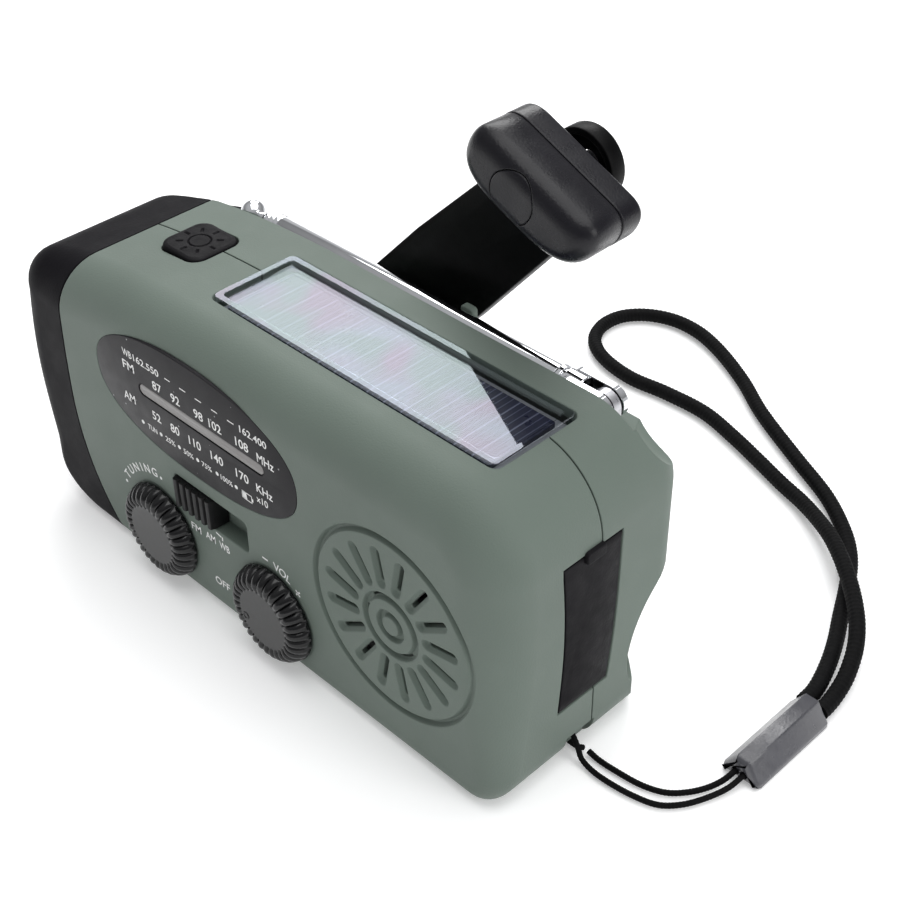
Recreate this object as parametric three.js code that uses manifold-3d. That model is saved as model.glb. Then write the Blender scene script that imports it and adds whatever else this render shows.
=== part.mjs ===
// Hand-cranked emergency radio with a solar panel, torch, telescopic aerial and wrist strap.
// Millimetres, +Z up. The origin is the middle of the housing's underside, the front (dial side)
// faces -Y, the torch is at -X and the charging ports are at +X.
import * as THREE from 'three';
import { mergeVertices } from 'three/addons/utils/BufferGeometryUtils.js';
import Module from 'manifold-3d';

const wasm = await Module();
wasm.setup();

// ---- driving dimensions -------------------------------------------------------------------
const WIDTH = 128;
const DEPTH = 44;
const HEIGHT = 60;
const WALL = 2;
const GAP = 0.3;              // clearance between neighbouring pieces
const CUT = 5;                // how far a cutter runs past the face it cuts
const FRONT = -DEPTH / 2;
const BACK = DEPTH / 2;
const RIGHT = WIDTH / 2;
const SEAM_Y = 1;             // parting plane between the front and the back shell
const BODY_SIDES = 24;        // sides of the round pieces

const TOP_RIGHT_RADIUS = 14;
const BOTTOM_RIGHT_RADIUS = 6.5;
const FRONT_EDGE = { low: 3, high: 9 };
const BACK_EDGE = { low: 3, high: 6 };
const EDGE_RISE = 14;         // height over which the edge radius grows from low to high
const TORCH_EDGE = { x: -46, run: 14, radius: 4 };   // edge radius of the torch end

const DIAL = { x: -8.4, z: 42.5, halfWidth: 27.5, halfHeight: 12, power: 2.3, depth: 1.2 };
const SCALE_SLOT = { x0: -23.4, x1: 10.8, z: 42.7, height: 2.4 };
const SPEAKER = { x: 40.4, z: 27.8, rimOuter: 19.4, rimInner: 17.7, slots: 16 };
const TUNING = { x: -21.7, z: 11.3 };
const VOLUME = { x: 10.4, z: 11.1 };
const KNOB = { base: 9.8, disc: 6.2, height: 3.4, shaft: 3, ribs: 15 };
const BAND = { x0: -16.3, x1: 4, z0: 20.6, z1: 27.4, floor: 3.2, slider: 11, stem: 3 };
const SOLAR = { x0: -15.2, x1: 52.5, y0: -10.6, y1: 8.4, corner: 2 };
const LIGHT_BUTTON = { x: -31.6, y: 0.2, size: 11, corner: 2.6, top: 59.7 };
const PORT = { y0: -7.9, y1: 6.1, z0: 12.9, z1: 46.4, depth: 1.8 };
const TORCH = { z: 30, halfY: 11, halfZ: 17, lens: -60.2, leds: [18, 30, 42], led: 2.5 };

const REBATE = { x0: -70, x1: 58.5, y: 13.8, z: 52.3 };
const CORNER_DISH = { x: 61.5, y: 24.5, z: 58.5, radius: 10.5 };
const FOOT_TOP = 9;           // height of the rounded foot behind the grip scoop
const AERIAL = { x: 50, y: 17.2, z: 56, tip: -37.5, ball: 2.5 };
const AERIAL_TUBES = [2.5, 2.0, 1.5, 1.0];   // outer radius of each section
const TUBE_WALL = 0.25;

const HUB = { x: -13.5, z: 36.5, disc: 11, shaft: 3 };
const CRANK_ANGLE = THREE.MathUtils.degToRad(47);
const CRANK_RADIUS = 74;
const ARM = { front: 24.1, thickness: 3.2, hubWidth: 19, tipRadius: 6.3, start: 4 };
const FOLD_Y = ARM.front + ARM.thickness / 2;
const GRIP = { front: 8.3, band: 16.8, back: 21.4, tilt: THREE.MathUtils.degToRad(24) };
const GEAR = { module: 1, wheel: 24, pinion: 10 };
const GEAR_SPACING = (GEAR.wheel + GEAR.pinion) * GEAR.module / 2;

const BATTERY = { x0: -33.5, x1: 31.5, y: 9.2, z: 12.4, radius: 9 };
const BOARD = { y: -7, thickness: 1.6 };
const SCREWS = [[-38, 9.5], [-39.6, 41], [36, 7], [34.5, 46.5]];
const STRAP_POCKET = { x0: 57.5, y0: -5.2, y1: 1.6, z1: 6.2 };
const STRAP_BAR = { x: 61.2, z: 2.7, radius: 1 };
const STRAP_LOCK = { x: 86.6, y0: 12.4, y1: 32.6, halfBase: 3.8, halfTop: 1.3, height: 4.6, lip: 0.9 };
const STRAP_LOOP = [
  [88.3, 32.9, 1.75], [88.3, 34.2, 1.75], [88, 37.5, 1.9], [87.3, 41.5, 2.5], [86.1, 45.2, 3.2],
  [84.6, 48.6, 4], [82.2, 52.4, 4.8], [78.8, 56.6, 5.1], [74.7, 60.9, 5.1], [70.2, 65, 5.1],
  [65.2, 69.1, 4.6], [59.9, 72.9, 3.4], [53.6, 76.6, 2.1], [47.2, 78.9, 1.7], [39.3, 81.7, 1.7],
  [31, 84.5, 1.7], [21, 87.1, 1.7], [10.8, 87, 1.7], [1, 86, 1.7], [-8.8, 88.1, 1.7],
  [-14.2, 92, 1.7], [-16.5, 97.7, 1.7], [-15.7, 103.4, 1.7], [-11.9, 107.9, 1.7], [-6, 110.5, 1.7],
  [0.8, 110.5, 1.7], [8.4, 108.1, 1.7], [19.6, 102.3, 1.7], [29.8, 95.5, 1.7], [44, 87.9, 1.7],
  [55.7, 81.9, 1.7], [61.6, 77.7, 1.7], [66.6, 73.2, 1.7], [70.4, 68.4, 1.7], [74, 61.9, 1.7],
  [77.3, 55.2, 1.7], [80.5, 48.8, 1.7], [83, 42.6, 1.7], [84.7, 36.5, 1.7], [84.9, 32.9, 1.75],
];
// The first thread starts as the hitch that goes round the moulded bar.
const STRAP_THREAD_A = [
  [64.3, -1.2, 1.3], [63.3, -1.2, 0.75], [61.4, -1.3, 0.75], [59.6, -1.5, 1.5], [59.1, -1.7, 2.9],
  [59.9, -1.9, 4.3], [61.5, -2.1, 4.7], [63.1, -2.4, 4.1], [64.6, -2.8, 2.5], [65.6, -3.1, 1.2],
  [67.5, -3.4, 0.7], [70.5, -3.6, 0.7], [76.5, -2.9, 0.7], [80.9, -1.4, 0.7], [83.6, 1.4, 0.7],
  [85.6, 5.4, 0.7], [87, 9, 1.2], [87.4, 12.1, 1.7],
];
const STRAP_THREAD_B = [
  [65.4, -1, 1.1], [67.5, -1, 0.7], [70.5, -0.9, 0.7], [76.5, -0.1, 0.7], [80.2, 1.5, 0.7],
  [82.6, 4, 0.7], [84.3, 7, 0.7], [85.4, 9.6, 1.2], [85.8, 12.1, 1.7],
];
const LOOP_RADIUS = 1.6;
const THREAD_RADIUS = 0.55;

// ---- solids -------------------------------------------------------------------------------
function signedVolume(geometry) {
  const position = geometry.attributes.position;
  const index = geometry.index;
  const corner = [new THREE.Vector3(), new THREE.Vector3(), new THREE.Vector3()];
  let volume = 0;
  for (let i = 0; i < index.count; i += 3) {
    corner.forEach((point, k) => point.fromBufferAttribute(position, index.getX(i + k)));
    volume += corner[0].dot(corner[1].cross(corner[2])) / 6;
  }
  return volume;
}

function solid(geometry) {
  const bare = geometry.clone();
  bare.deleteAttribute('normal');
  bare.deleteAttribute('uv');
  const merged = mergeVertices(bare, 1e-4);
  const triVerts = new Uint32Array(merged.index.array);
  if (signedVolume(merged) < 0) triVerts.reverse();
  const vertProperties = new Float32Array(merged.attributes.position.array);
  return new wasm.Manifold(new wasm.Mesh({ numProp: 3, vertProperties, triVerts }));
}

function geometryOf(body) {
  const mesh = body.getMesh();
  const geometry = new THREE.BufferGeometry();
  geometry.setAttribute('position', new THREE.BufferAttribute(mesh.vertProperties, 3));
  geometry.setIndex(new THREE.BufferAttribute(mesh.triVerts, 1));
  geometry.computeVertexNormals();
  return geometry;
}

function addAll(bodies) {
  return bodies.reduce((sum, body) => sum.add(body));
}

function box(x0, x1, y0, y1, z0, z1) {
  const geometry = new THREE.BoxGeometry(x1 - x0, y1 - y0, z1 - z0);
  geometry.translate((x0 + x1) / 2, (y0 + y1) / 2, (z0 + z1) / 2);
  return solid(geometry);
}

function cylinderY(x, z, radius, y0, y1, sides = BODY_SIDES) {
  const geometry = new THREE.CylinderGeometry(radius, radius, y1 - y0, sides);
  geometry.translate(x, (y0 + y1) / 2, z);
  return solid(geometry);
}

function cylinderX(y, z, radius, x0, x1, sides = BODY_SIDES) {
  const geometry = new THREE.CylinderGeometry(radius, radius, x1 - x0, sides);
  geometry.rotateZ(Math.PI / 2);
  geometry.translate((x0 + x1) / 2, y, z);
  return solid(geometry);
}

function ball(x, y, z, radius, sides = 16) {
  const geometry = new THREE.SphereGeometry(radius, sides, sides / 2);
  geometry.translate(x, y, z);
  return solid(geometry);
}

// A shape drawn in XZ, stretched from y0 to y1.
function prismY(shape, y0, y1, curveSegments = 3) {
  const options = { depth: y1 - y0, bevelEnabled: false, curveSegments };
  const geometry = new THREE.ExtrudeGeometry(shape, options);
  geometry.rotateX(Math.PI / 2);
  geometry.translate(0, y1, 0);
  return solid(geometry);
}

// A shape drawn in XY, stretched from z0 to z1.
function prismZ(shape, z0, z1, curveSegments = 2) {
  const options = { depth: z1 - z0, bevelEnabled: false, curveSegments };
  const geometry = new THREE.ExtrudeGeometry(shape, options);
  geometry.translate(0, 0, z0);
  return solid(geometry);
}

// A shape drawn in YZ, stretched from x0 to x1.
function prismX(shape, x0, x1, curveSegments = 3) {
  const options = { depth: x1 - x0, bevelEnabled: false, curveSegments };
  const geometry = new THREE.ExtrudeGeometry(shape, options);
  geometry.rotateY(Math.PI / 2);
  geometry.rotateX(Math.PI / 2);
  geometry.translate(x0, 0, 0);
  return solid(geometry);
}

// A profile of [radius, y] points turned about a line through (x, z) parallel to Y.
function turned(profile, x, z, sides = BODY_SIDES) {
  const geometry = new THREE.LatheGeometry(profile.map(([r, y]) => new THREE.Vector2(r, y)), sides);
  geometry.translate(x, 0, z);
  return solid(geometry);
}

// The same, about a line through (y, z) parallel to X, with [radius, x] points.
function turnedX(profile, y, z, sides = 16) {
  const geometry = new THREE.LatheGeometry(profile.map(([r, x]) => new THREE.Vector2(r, x)), sides);
  geometry.rotateZ(-Math.PI / 2);
  geometry.translate(0, y, z);
  return solid(geometry);
}

function roundedRectangle(x0, x1, y0, y1, radius) {
  const shape = new THREE.Shape();
  shape.absarc(x1 - radius, y0 + radius, radius, -Math.PI / 2, 0);
  shape.absarc(x1 - radius, y1 - radius, radius, 0, Math.PI / 2);
  shape.absarc(x0 + radius, y1 - radius, radius, Math.PI / 2, Math.PI);
  shape.absarc(x0 + radius, y0 + radius, radius, Math.PI, Math.PI * 1.5);
  return shape;
}

function superellipse(x, z, halfWidth, halfHeight, power, count) {
  const points = [];
  for (let i = 0; i < count; i += 1) {
    const angle = (i / count) * 2 * Math.PI;
    const c = Math.cos(angle);
    const s = Math.sin(angle);
    points.push(new THREE.Vector2(
      x + halfWidth * Math.sign(c) * Math.abs(c) ** (2 / power),
      z + halfHeight * Math.sign(s) * Math.abs(s) ** (2 / power),
    ));
  }
  return new THREE.Shape(points);
}

// A cord of eight sides: a full circle takes twice as many points as its curve segments.
function tubeAlong(points, radius, steps) {
  const section = new THREE.Shape();
  section.absarc(0, 0, radius, 0, 2 * Math.PI);
  const path = new THREE.CatmullRomCurve3(points.map((point) => new THREE.Vector3(...point)));
  const options = { steps, extrudePath: path, curveSegments: 4, bevelEnabled: false };
  return solid(new THREE.ExtrudeGeometry(section, options));
}

// ---- housing ------------------------------------------------------------------------------
function smoothRise(value, top) {
  const t = Math.min(Math.max(value / top, 0), 1);
  return t * t * (3 - 2 * t);
}

// The silhouette from the front: flat base, bulging torch end, top that falls towards the torch.
function silhouette() {
  const r = BOTTOM_RIGHT_RADIUS;
  const shape = new THREE.Shape();
  shape.moveTo(-46, 0);
  shape.lineTo(RIGHT - r, 0);
  shape.absarc(RIGHT - r, r, r, -Math.PI / 2, 0);
  shape.absarc(RIGHT - TOP_RIGHT_RADIUS, HEIGHT - TOP_RIGHT_RADIUS, TOP_RIGHT_RADIUS, 0, Math.PI / 2);
  shape.lineTo(-12, HEIGHT);
  shape.quadraticCurveTo(-34, 59.5, -49, 56.5);
  shape.lineTo(-54, 55.8);
  shape.quadraticCurveTo(-60.6, 54.9, -61.8, 48);
  shape.quadraticCurveTo(-66, 29, -61.4, 12);
  shape.quadraticCurveTo(-58, 0.4, -46, 0);
  return shape;
}

// The radius of the edge round a face: larger higher up, and smaller at the torch end.
function edgeRadius({ low, high }, x, z) {
  const rise = smoothRise(z, EDGE_RISE);
  const nearTorch = smoothRise(TORCH_EDGE.x - x, TORCH_EDGE.run);
  const body = THREE.MathUtils.lerp(low, high, rise);
  return Math.max(THREE.MathUtils.lerp(body, TORCH_EDGE.radius * rise, nearTorch), low);
}

// The housing's outer form, or with an inset the cavity inside it.
function housingForm(inset) {
  const rows = 8;
  const outline = silhouette().getPoints(4).slice(0, -1);
  const depth = { depth: rows, steps: rows, bevelEnabled: false };
  const geometry = new THREE.ExtrudeGeometry(new THREE.Shape(outline), depth);
  const normals = outline.map((point, i) => {
    const before = outline[(i + outline.length - 1) % outline.length];
    const after = outline[(i + 1) % outline.length];
    const along = after.clone().sub(before).normalize();
    return new THREE.Vector2(along.y, -along.x);
  });
  const position = geometry.attributes.position;
  const half = rows / 2;
  for (let i = 0; i < position.count; i += 1) {
    const x = position.getX(i);
    const z = position.getY(i);
    const row = Math.round(position.getZ(i));
    const atBack = row >= half;
    const edge = atBack ? BACK_EDGE : FRONT_EDGE;
    const radius = edgeRadius(edge, x, z) - inset;
    const fromFace = atBack ? rows - row : row;
    const angle = Math.min(fromFace / (half - 1), 1) * Math.PI / 2;
    const inwards = inset + radius * (1 - Math.sin(angle));
    const fromEnd = inset + radius * (1 - Math.cos(angle));
    const y = atBack ? BACK - fromEnd : FRONT + fromEnd;
    const nearest = outline.findIndex((point) => Math.hypot(point.x - x, point.y - z) < 1e-3);
    position.setXYZ(i, x - normals[nearest].x * inwards, y, z - normals[nearest].y * inwards);
  }
  return solid(geometry);
}

// The slope that takes the bezel's top back corner down behind the aerial.
function bezelShoulder(grow) {
  const drop = 1.05 * grow;
  const shape = new THREE.Shape();
  shape.moveTo(-80, 41.65 - drop);
  shape.lineTo(-44.5, REBATE.z - drop);
  shape.lineTo(-44.5, 70);
  shape.lineTo(-80, 70);
  return prismY(shape, REBATE.y - grow, BACK + CUT);
}

// The curve that takes the rebate round the bezel's top corner.
function bezelCorner(grow) {
  const shape = new THREE.Shape();
  shape.moveTo(-70 - grow, 25);
  shape.lineTo(-70 - grow, 3 - grow);
  shape.lineTo(-62.5, 3 - grow);
  shape.quadraticCurveTo(-59 + grow, 12 - grow, -44, REBATE.y - grow);
  shape.lineTo(-44, 25);
  return prismZ(shape, REBATE.z - grow, HEIGHT + CUT, 6);
}

// What is hollowed out of the form from outside; grow thickens it to leave a wall behind it.
function outsideHollows(grow) {
  const rebate = box(REBATE.x0 - grow, REBATE.x1 + grow, REBATE.y - grow, BACK + CUT,
    REBATE.z - grow, HEIGHT + CUT);
  const dish = CORNER_DISH;
  const corner = ball(dish.x, dish.y, dish.z, dish.radius + grow, 20);
  const scoop = new THREE.Shape();
  scoop.moveTo(BACK + CUT, 33 + grow);
  scoop.lineTo(BACK - 1, 31 + grow);
  scoop.quadraticCurveTo(11 - grow, 25 + grow, 9.6 - grow, 15);
  scoop.quadraticCurveTo(9.4 - grow, 6 - grow, 15, 6 - grow);
  scoop.lineTo(BACK + CUT, 8.5 - grow);
  const gripScoop = prismX(scoop, 43 - grow, RIGHT + CUT);
  const strap = box(STRAP_POCKET.x0 - grow, RIGHT + CUT, STRAP_POCKET.y0 - grow,
    STRAP_POCKET.y1 + grow, -CUT, STRAP_POCKET.z1 + grow);
  const footEdge = new THREE.Shape();
  footEdge.moveTo(RIGHT + CUT, 10.5 - grow);
  footEdge.lineTo(64, 11.2 - grow);
  footEdge.quadraticCurveTo(61.6 - grow, 15.6 - grow, 48 - grow, 24);
  footEdge.lineTo(48 - grow, BACK + CUT);
  footEdge.lineTo(RIGHT + CUT, BACK + CUT);
  const foot = prismZ(footEdge, -CUT, FOOT_TOP, 6);
  return addAll([rebate, bezelShoulder(grow), bezelCorner(grow), corner, gripScoop, foot, strap]);
}

// The region that belongs to the torch bezel, shifted along X by half the joint gap.
function torchRegion(shift) {
  const shape = new THREE.Shape();
  shape.moveTo(-80, -CUT);
  shape.lineTo(-37.5 + shift, -CUT);
  shape.lineTo(-37.5 + shift, 1.5);
  shape.quadraticCurveTo(-47.8 + shift, 13, -47.4 + shift, 31);
  shape.quadraticCurveTo(-47.2 + shift, 46, -44.5 + shift, HEIGHT + CUT);
  shape.lineTo(-80, HEIGHT + CUT);
  return prismY(shape, FRONT - CUT, BACK + CUT);
}

function dialHole(grow, y0, y1) {
  const { x, z, halfWidth, halfHeight, power } = DIAL;
  return prismY(superellipse(x, z, halfWidth + grow, halfHeight + grow, power, 28), y0, y1);
}

function scaleSlot(grow, y0, y1) {
  const r = SCALE_SLOT.height / 2 + grow;
  const { x0, x1, z } = SCALE_SLOT;
  return prismY(roundedRectangle(x0 - grow, x1 + grow, z - r, z + r, r - 0.01), y0, y1, 4);
}

function grilleCuts() {
  const { x, z, rimOuter, rimInner, slots } = SPEAKER;
  const groove = (inner, outer, depth) => turned(
    [[inner, FRONT - CUT], [outer, FRONT - CUT], [outer, FRONT + depth], [inner, FRONT + depth],
      [inner, FRONT - CUT]], x, z, 28);
  const cuts = [groove(rimInner, rimOuter, 0.8), groove(5, 6.6, 1), groove(1.8, 3.2, 1)];
  for (let i = 0; i < slots; i += 1) {
    const slot = new THREE.BoxGeometry(7.8, WALL + CUT, 1.1);
    slot.translate(11.5, FRONT, 0);
    slot.rotateY((i + 0.5) * 2 * Math.PI / slots);
    slot.translate(x, 0, z);
    cuts.push(solid(slot));
  }
  return addAll(cuts);
}

function screwBoss(x, z, radius, y0, y1) {
  return cylinderY(x, z, radius, y0, y1, 16);
}

function buildShells() {
  const form = housingForm(0).subtract(outsideHollows(0));
  const cavity = housingForm(WALL).subtract(outsideHollows(WALL));
  const shell = form.subtract(cavity);
  const region = torchRegion(GAP / 2);
  const frontHalf = box(-80, 80, -50, SEAM_Y - GAP / 2, -10, 80);
  const backHalf = box(-80, 80, SEAM_Y + GAP / 2, 50, -10, 80);

  const portBlock = box(57, RIGHT - 1.5, PORT.y0 - 1.6, PORT.y1 + 1.6, PORT.z0 - 1.6, PORT.z1 + 1.6);
  const bandBlock = box(BAND.x0 - 1, BAND.x1 + 1, FRONT + 1, FRONT + BAND.floor + 1,
    BAND.z0 - 1, BAND.z1 + 1);
  const bosses = SCREWS.map(([x, z]) => screwBoss(x, z, 3.2, FRONT + 1, SEAM_Y - GAP));
  const backBosses = SCREWS.map(([x, z]) => screwBoss(x, z, 4, SEAM_Y + GAP, BACK - 1));
  const bar = cylinderY(STRAP_BAR.x, STRAP_BAR.z, STRAP_BAR.radius, STRAP_POCKET.y0 - 1,
    SEAM_Y - GAP / 2, 12);

  const topHoles = [
    prismZ(roundedRectangle(SOLAR.x0, SOLAR.x1, SOLAR.y0, SOLAR.y1, SOLAR.corner), 50, HEIGHT + CUT),
    prismZ(buttonOutline(GAP), 50, HEIGHT + CUT),
  ];
  const portRecess = prismX(roundedRectangle(PORT.y0, PORT.y1, PORT.z0, PORT.z1, 1.2),
    RIGHT - PORT.depth, RIGHT + CUT);
  const sockets = [usbHole(GAP / 2), chargeHole(GAP / 2)];
  const screwHoles = SCREWS.map(([x, z]) => addAll([
    screwBoss(x, z, 1.7, -14, BACK + CUT),
    screwBoss(x, z, 2.9, BACK - 2.6, BACK + CUT),
  ]));
  const frontHoles = [
    dialHole(GAP / 2, FRONT - CUT, FRONT + DIAL.depth),
    scaleSlot(0.8, FRONT - CUT, FRONT + WALL + 1),
    grilleCuts(),
    cylinderY(TUNING.x, TUNING.z, KNOB.shaft + GAP, FRONT - CUT, FRONT + CUT, 20),
    cylinderY(VOLUME.x, VOLUME.z, KNOB.shaft + GAP, FRONT - CUT, FRONT + CUT, 20),
    box(BAND.x0, BAND.x1, FRONT - CUT, FRONT + BAND.floor, BAND.z0, BAND.z1),
    box(BAND.x0 + 3.6, BAND.x1 - 3.6, FRONT, FRONT + CUT, 23, 25.2),
  ];
  const both = addAll([...topHoles, portRecess, ...sockets, ...screwHoles]);

  const front = addAll([shell, portBlock, bandBlock, ...bosses, bar])
    .subtract(region).intersect(frontHalf).subtract(both).subtract(addAll(frontHoles));
  const aerialSlot = box(46, 54, 15.8, 18.6, 40, HEIGHT);
  const clip = box(14.5, 17.5, 20.3, 21.7, REBATE.z - 1, 57.5);
  const crankHole = cylinderY(HUB.x, HUB.z, HUB.shaft + GAP, BACK - CUT, BACK + CUT, 20);
  const back = addAll([shell, portBlock, clip, ...backBosses])
    .subtract(region).intersect(backHalf).subtract(both).subtract(aerialSlot).subtract(crankHole);
  const bezel = shell.intersect(torchRegion(-GAP / 2)).subtract(torchOpening(0, -80, -50));
  return { front, back, bezel };
}

function buttonOutline(grow) {
  const half = LIGHT_BUTTON.size / 2 + grow;
  const { x, y, corner } = LIGHT_BUTTON;
  return roundedRectangle(x - half, x + half, y - half, y + half, corner + grow);
}

function torchOpening(grow, x0, x1) {
  const { z, halfY, halfZ } = TORCH;
  const shape = roundedRectangle(-halfY - grow, halfY + grow, z - halfZ - grow, z + halfZ + grow, 8 + grow);
  return prismX(shape, x0, x1);
}

function usbHole(grow) {
  return box(50, RIGHT + CUT, -3.7 - grow, 1.9 + grow, 16 - grow, 29 + grow);
}

function chargeHole(grow) {
  return box(54, RIGHT + CUT, -2.4 - grow, 0.6 + grow, 34 - grow, 42 + grow);
}

// ---- small pieces of the front ------------------------------------------------------------
// A knob: ribbed skirt that rolls over to a flat sunk disc.
function knobBody({ x, z }) {
  const face = FRONT - KNOB.height;
  const base = FRONT - GAP;
  const skirt = turned([[0, face], [KNOB.disc, face], [7.2, face - 0.3], [8.8, face + 0.5],
    [9.5, face + 1.6], [KNOB.base, base], [0, base]], x, z, 24);
  const flutes = [];
  for (let i = 0; i < KNOB.ribs; i += 1) {
    const flute = new THREE.CylinderGeometry(0.45, 0.45, KNOB.height, 4);
    flute.translate(KNOB.base - 0.1, FRONT - 1.9, 0);
    flute.rotateY(i * 2 * Math.PI / KNOB.ribs);
    flute.translate(x, 0, z);
    flutes.push(solid(flute));
  }
  const shaftHole = cylinderY(x, z, KNOB.shaft + GAP, FRONT - 2, FRONT, 20);
  return skirt.subtract(addAll(flutes)).subtract(shaftHole);
}

function knobShaft({ x, z }, inner) {
  return cylinderY(x, z, KNOB.shaft, FRONT - 1.8, inner, 20);
}

function bandSlider() {
  const x0 = BAND.x0 + GAP;
  const x1 = x0 + BAND.slider;
  const cap = box(x0, x1, FRONT - 1, FRONT + BAND.floor - GAP, BAND.z0 + GAP, BAND.z1 - GAP);
  const grooves = [];
  for (let i = 1; i < 6; i += 1) {
    const x = x0 + i * BAND.slider / 6;
    grooves.push(box(x - 0.45, x + 0.45, FRONT - CUT, FRONT - 0.2, 0, HEIGHT));
  }
  const stemX = x0 + BAND.slider / 2;
  const stem = box(stemX - BAND.stem / 2, stemX + BAND.stem / 2, FRONT + 1, FRONT + 7, 23.3, 24.9);
  return cap.subtract(addAll(grooves)).add(stem);
}

// ---- gears --------------------------------------------------------------------------------
function gear(teeth, x, z, y0, y1, firstTooth, bore) {
  const pitch = teeth * GEAR.module / 2;
  const tip = pitch + 0.7;
  const root = pitch - 1;
  const shape = new THREE.Shape();
  for (let i = 0; i < teeth; i += 1) {
    const middle = firstTooth + (i * 2 * Math.PI) / teeth;
    const flank = [[root, -0.75 / root], [tip, -0.3 / tip], [tip, 0.3 / tip], [root, 0.75 / root]];
    flank.forEach(([radius, offset], k) => {
      const u = radius * Math.cos(middle + offset);
      const w = radius * Math.sin(middle + offset);
      if (i === 0 && k === 0) shape.moveTo(x + u, z + w);
      else shape.lineTo(x + u, z + w);
    });
  }
  const wheel = prismY(shape, y0, y1);
  return bore > 0 ? wheel.subtract(cylinderY(x, z, bore, y0 - 1, y1 + 1, 16)) : wheel;
}

// ---- crank --------------------------------------------------------------------------------
// Drawn with the arm along +X and the hub's axis at X = Z = 0, then turned as a group.
function foldCylinder(radius, length) {
  const geometry = new THREE.CylinderGeometry(radius, radius, length, 16);
  geometry.rotateX(Math.PI / 2);
  geometry.translate(0, FOLD_Y, 0);
  return solid(geometry);
}

function crankHub() {
  const disc = cylinderY(0, 0, HUB.disc, BACK + GAP, BACK + 1.8);
  const shaft = cylinderY(0, 0, HUB.shaft, 13.2, BACK + 1, 20);
  const ears = [-1, 1].map((side) => box(-3.4, 3.4, BACK + 1, FOLD_Y + 1.9,
    Math.min(side * 5.3, side * 8.5), Math.max(side * 5.3, side * 8.5)));
  return addAll([disc, shaft, ...ears]).subtract(foldCylinder(1.15, 30));
}

function crankArm() {
  const half = ARM.hubWidth / 2;
  const shape = new THREE.Shape();
  shape.moveTo(ARM.start, -half);
  shape.lineTo(30, -half);
  shape.lineTo(CRANK_RADIUS, -ARM.tipRadius);
  shape.absarc(CRANK_RADIUS, 0, ARM.tipRadius, -Math.PI / 2, Math.PI / 2);
  shape.lineTo(30, half);
  shape.lineTo(ARM.start, half);
  const plate = prismY(shape, ARM.front, ARM.front + ARM.thickness, 6);
  const back = ARM.front + ARM.thickness;
  const knuckle = foldCylinder(ARM.thickness / 2, 10).add(box(0, ARM.start + 1, ARM.front, back, -5, 5));
  const cup = cylinderY(CRANK_RADIUS, 0, 5, ARM.front - 1, ARM.front + 1.9);
  return addAll([plate, knuckle]).subtract(foldCylinder(1.15, 30)).subtract(cup)
    .subtract(cylinderY(CRANK_RADIUS, 0, 1.8 + GAP, ARM.front - 1, back + 1, 20));
}

// The grip, drawn with its long side along +X and the axle at X = Z = 0.
function gripOutline() {
  const shape = new THREE.Shape();
  shape.moveTo(-8.3, 6.4);
  shape.quadraticCurveTo(-12, 6.4, -12, 3);
  shape.quadraticCurveTo(-12, -4.4, -3, -4.4);
  shape.lineTo(3, -4.4);
  shape.quadraticCurveTo(14.4, -4.4, 14.4, 3);
  shape.quadraticCurveTo(14.4, 6.4, 10.8, 6.4);
  return shape;
}

function gripFront() {
  return prismY(gripOutline(), GRIP.front, GRIP.band - GAP / 2, 5)
    .subtract(cylinderY(-0.2, 1, 4.4, GRIP.front - 1, GRIP.front + 1.2, 24))
    .subtract(cylinderY(0, 0, 1.8 + GAP, GRIP.front + 4, GRIP.band + 1, 20));
}

function gripBand() {
  return prismY(gripOutline(), GRIP.band + GAP / 2, GRIP.back, 5)
    .subtract(cylinderY(0, 0, 1.8 + GAP, GRIP.band - 1, GRIP.back + 1, 20));
}

function gripAxle() {
  const back = ARM.front + ARM.thickness;
  return turned([[0, GRIP.front + 4.4], [1.8, GRIP.front + 4.4], [1.8, GRIP.back + GAP],
    [3.4, GRIP.back + GAP], [3.4, ARM.front - GAP], [1.8, ARM.front - GAP], [1.8, back - 0.4],
    [0, back - 0.4]], 0, 0, 20);
}

// ---- aerial -------------------------------------------------------------------------------
function aerialKnuckle() {
  const { x, y, z } = AERIAL;
  const neck = cylinderX(y, z, 2.9, x - 9.5, x - 4.2, 16);
  const cheeks = [-1, 1].map((side) => {
    const inner = y + side * 1.1;
    const outer = y + side * 2.6;
    const plate = box(x - 6, x, Math.min(inner, outer), Math.max(inner, outer), z - 2.9, z + 2.9);
    return plate.add(cylinderY(x, z, 2.9, Math.min(inner, outer), Math.max(inner, outer), 16));
  });
  return addAll([neck, ...cheeks]).subtract(cylinderY(x, z, 0.9 + GAP / 2, y - 5, y + 5, 12));
}

function aerialSection(index) {
  const { x, y, z, tip } = AERIAL;
  const outer = AERIAL_TUBES[index];
  const inner = outer - TUBE_WALL;
  const start = x - 9.8 - index * 0.6;
  const end = tip + 7.5 - index * 1.6;
  return turnedX([[inner, end], [outer, end], [outer, start], [inner, start], [inner, end]], y, z);
}

function aerialTip() {
  const { x, y, z, tip, ball: radius } = AERIAL;
  const rod = cylinderX(y, z, AERIAL_TUBES[3], tip, x - 12, 12);
  return rod.add(ball(tip, y, z, radius));
}

// ---- strap --------------------------------------------------------------------------------
function strapLock() {
  const { x, y0, y1, halfBase, halfTop, height, lip } = STRAP_LOCK;
  const shape = new THREE.Shape();
  shape.moveTo(x - halfBase, 0);
  shape.lineTo(x + halfBase, 0);
  shape.lineTo(x + halfBase, lip);
  shape.lineTo(x + halfTop, height);
  shape.lineTo(x - halfTop, height);
  shape.lineTo(x - halfBase, lip);
  return prismY(shape, y0, y1);
}

// ---- assembly -----------------------------------------------------------------------------
function material(color, roughness, metalness = 0, opacity = 1) {
  return new THREE.MeshStandardMaterial({
    color, roughness, metalness, opacity, transparent: opacity < 1,
  });
}

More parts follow.
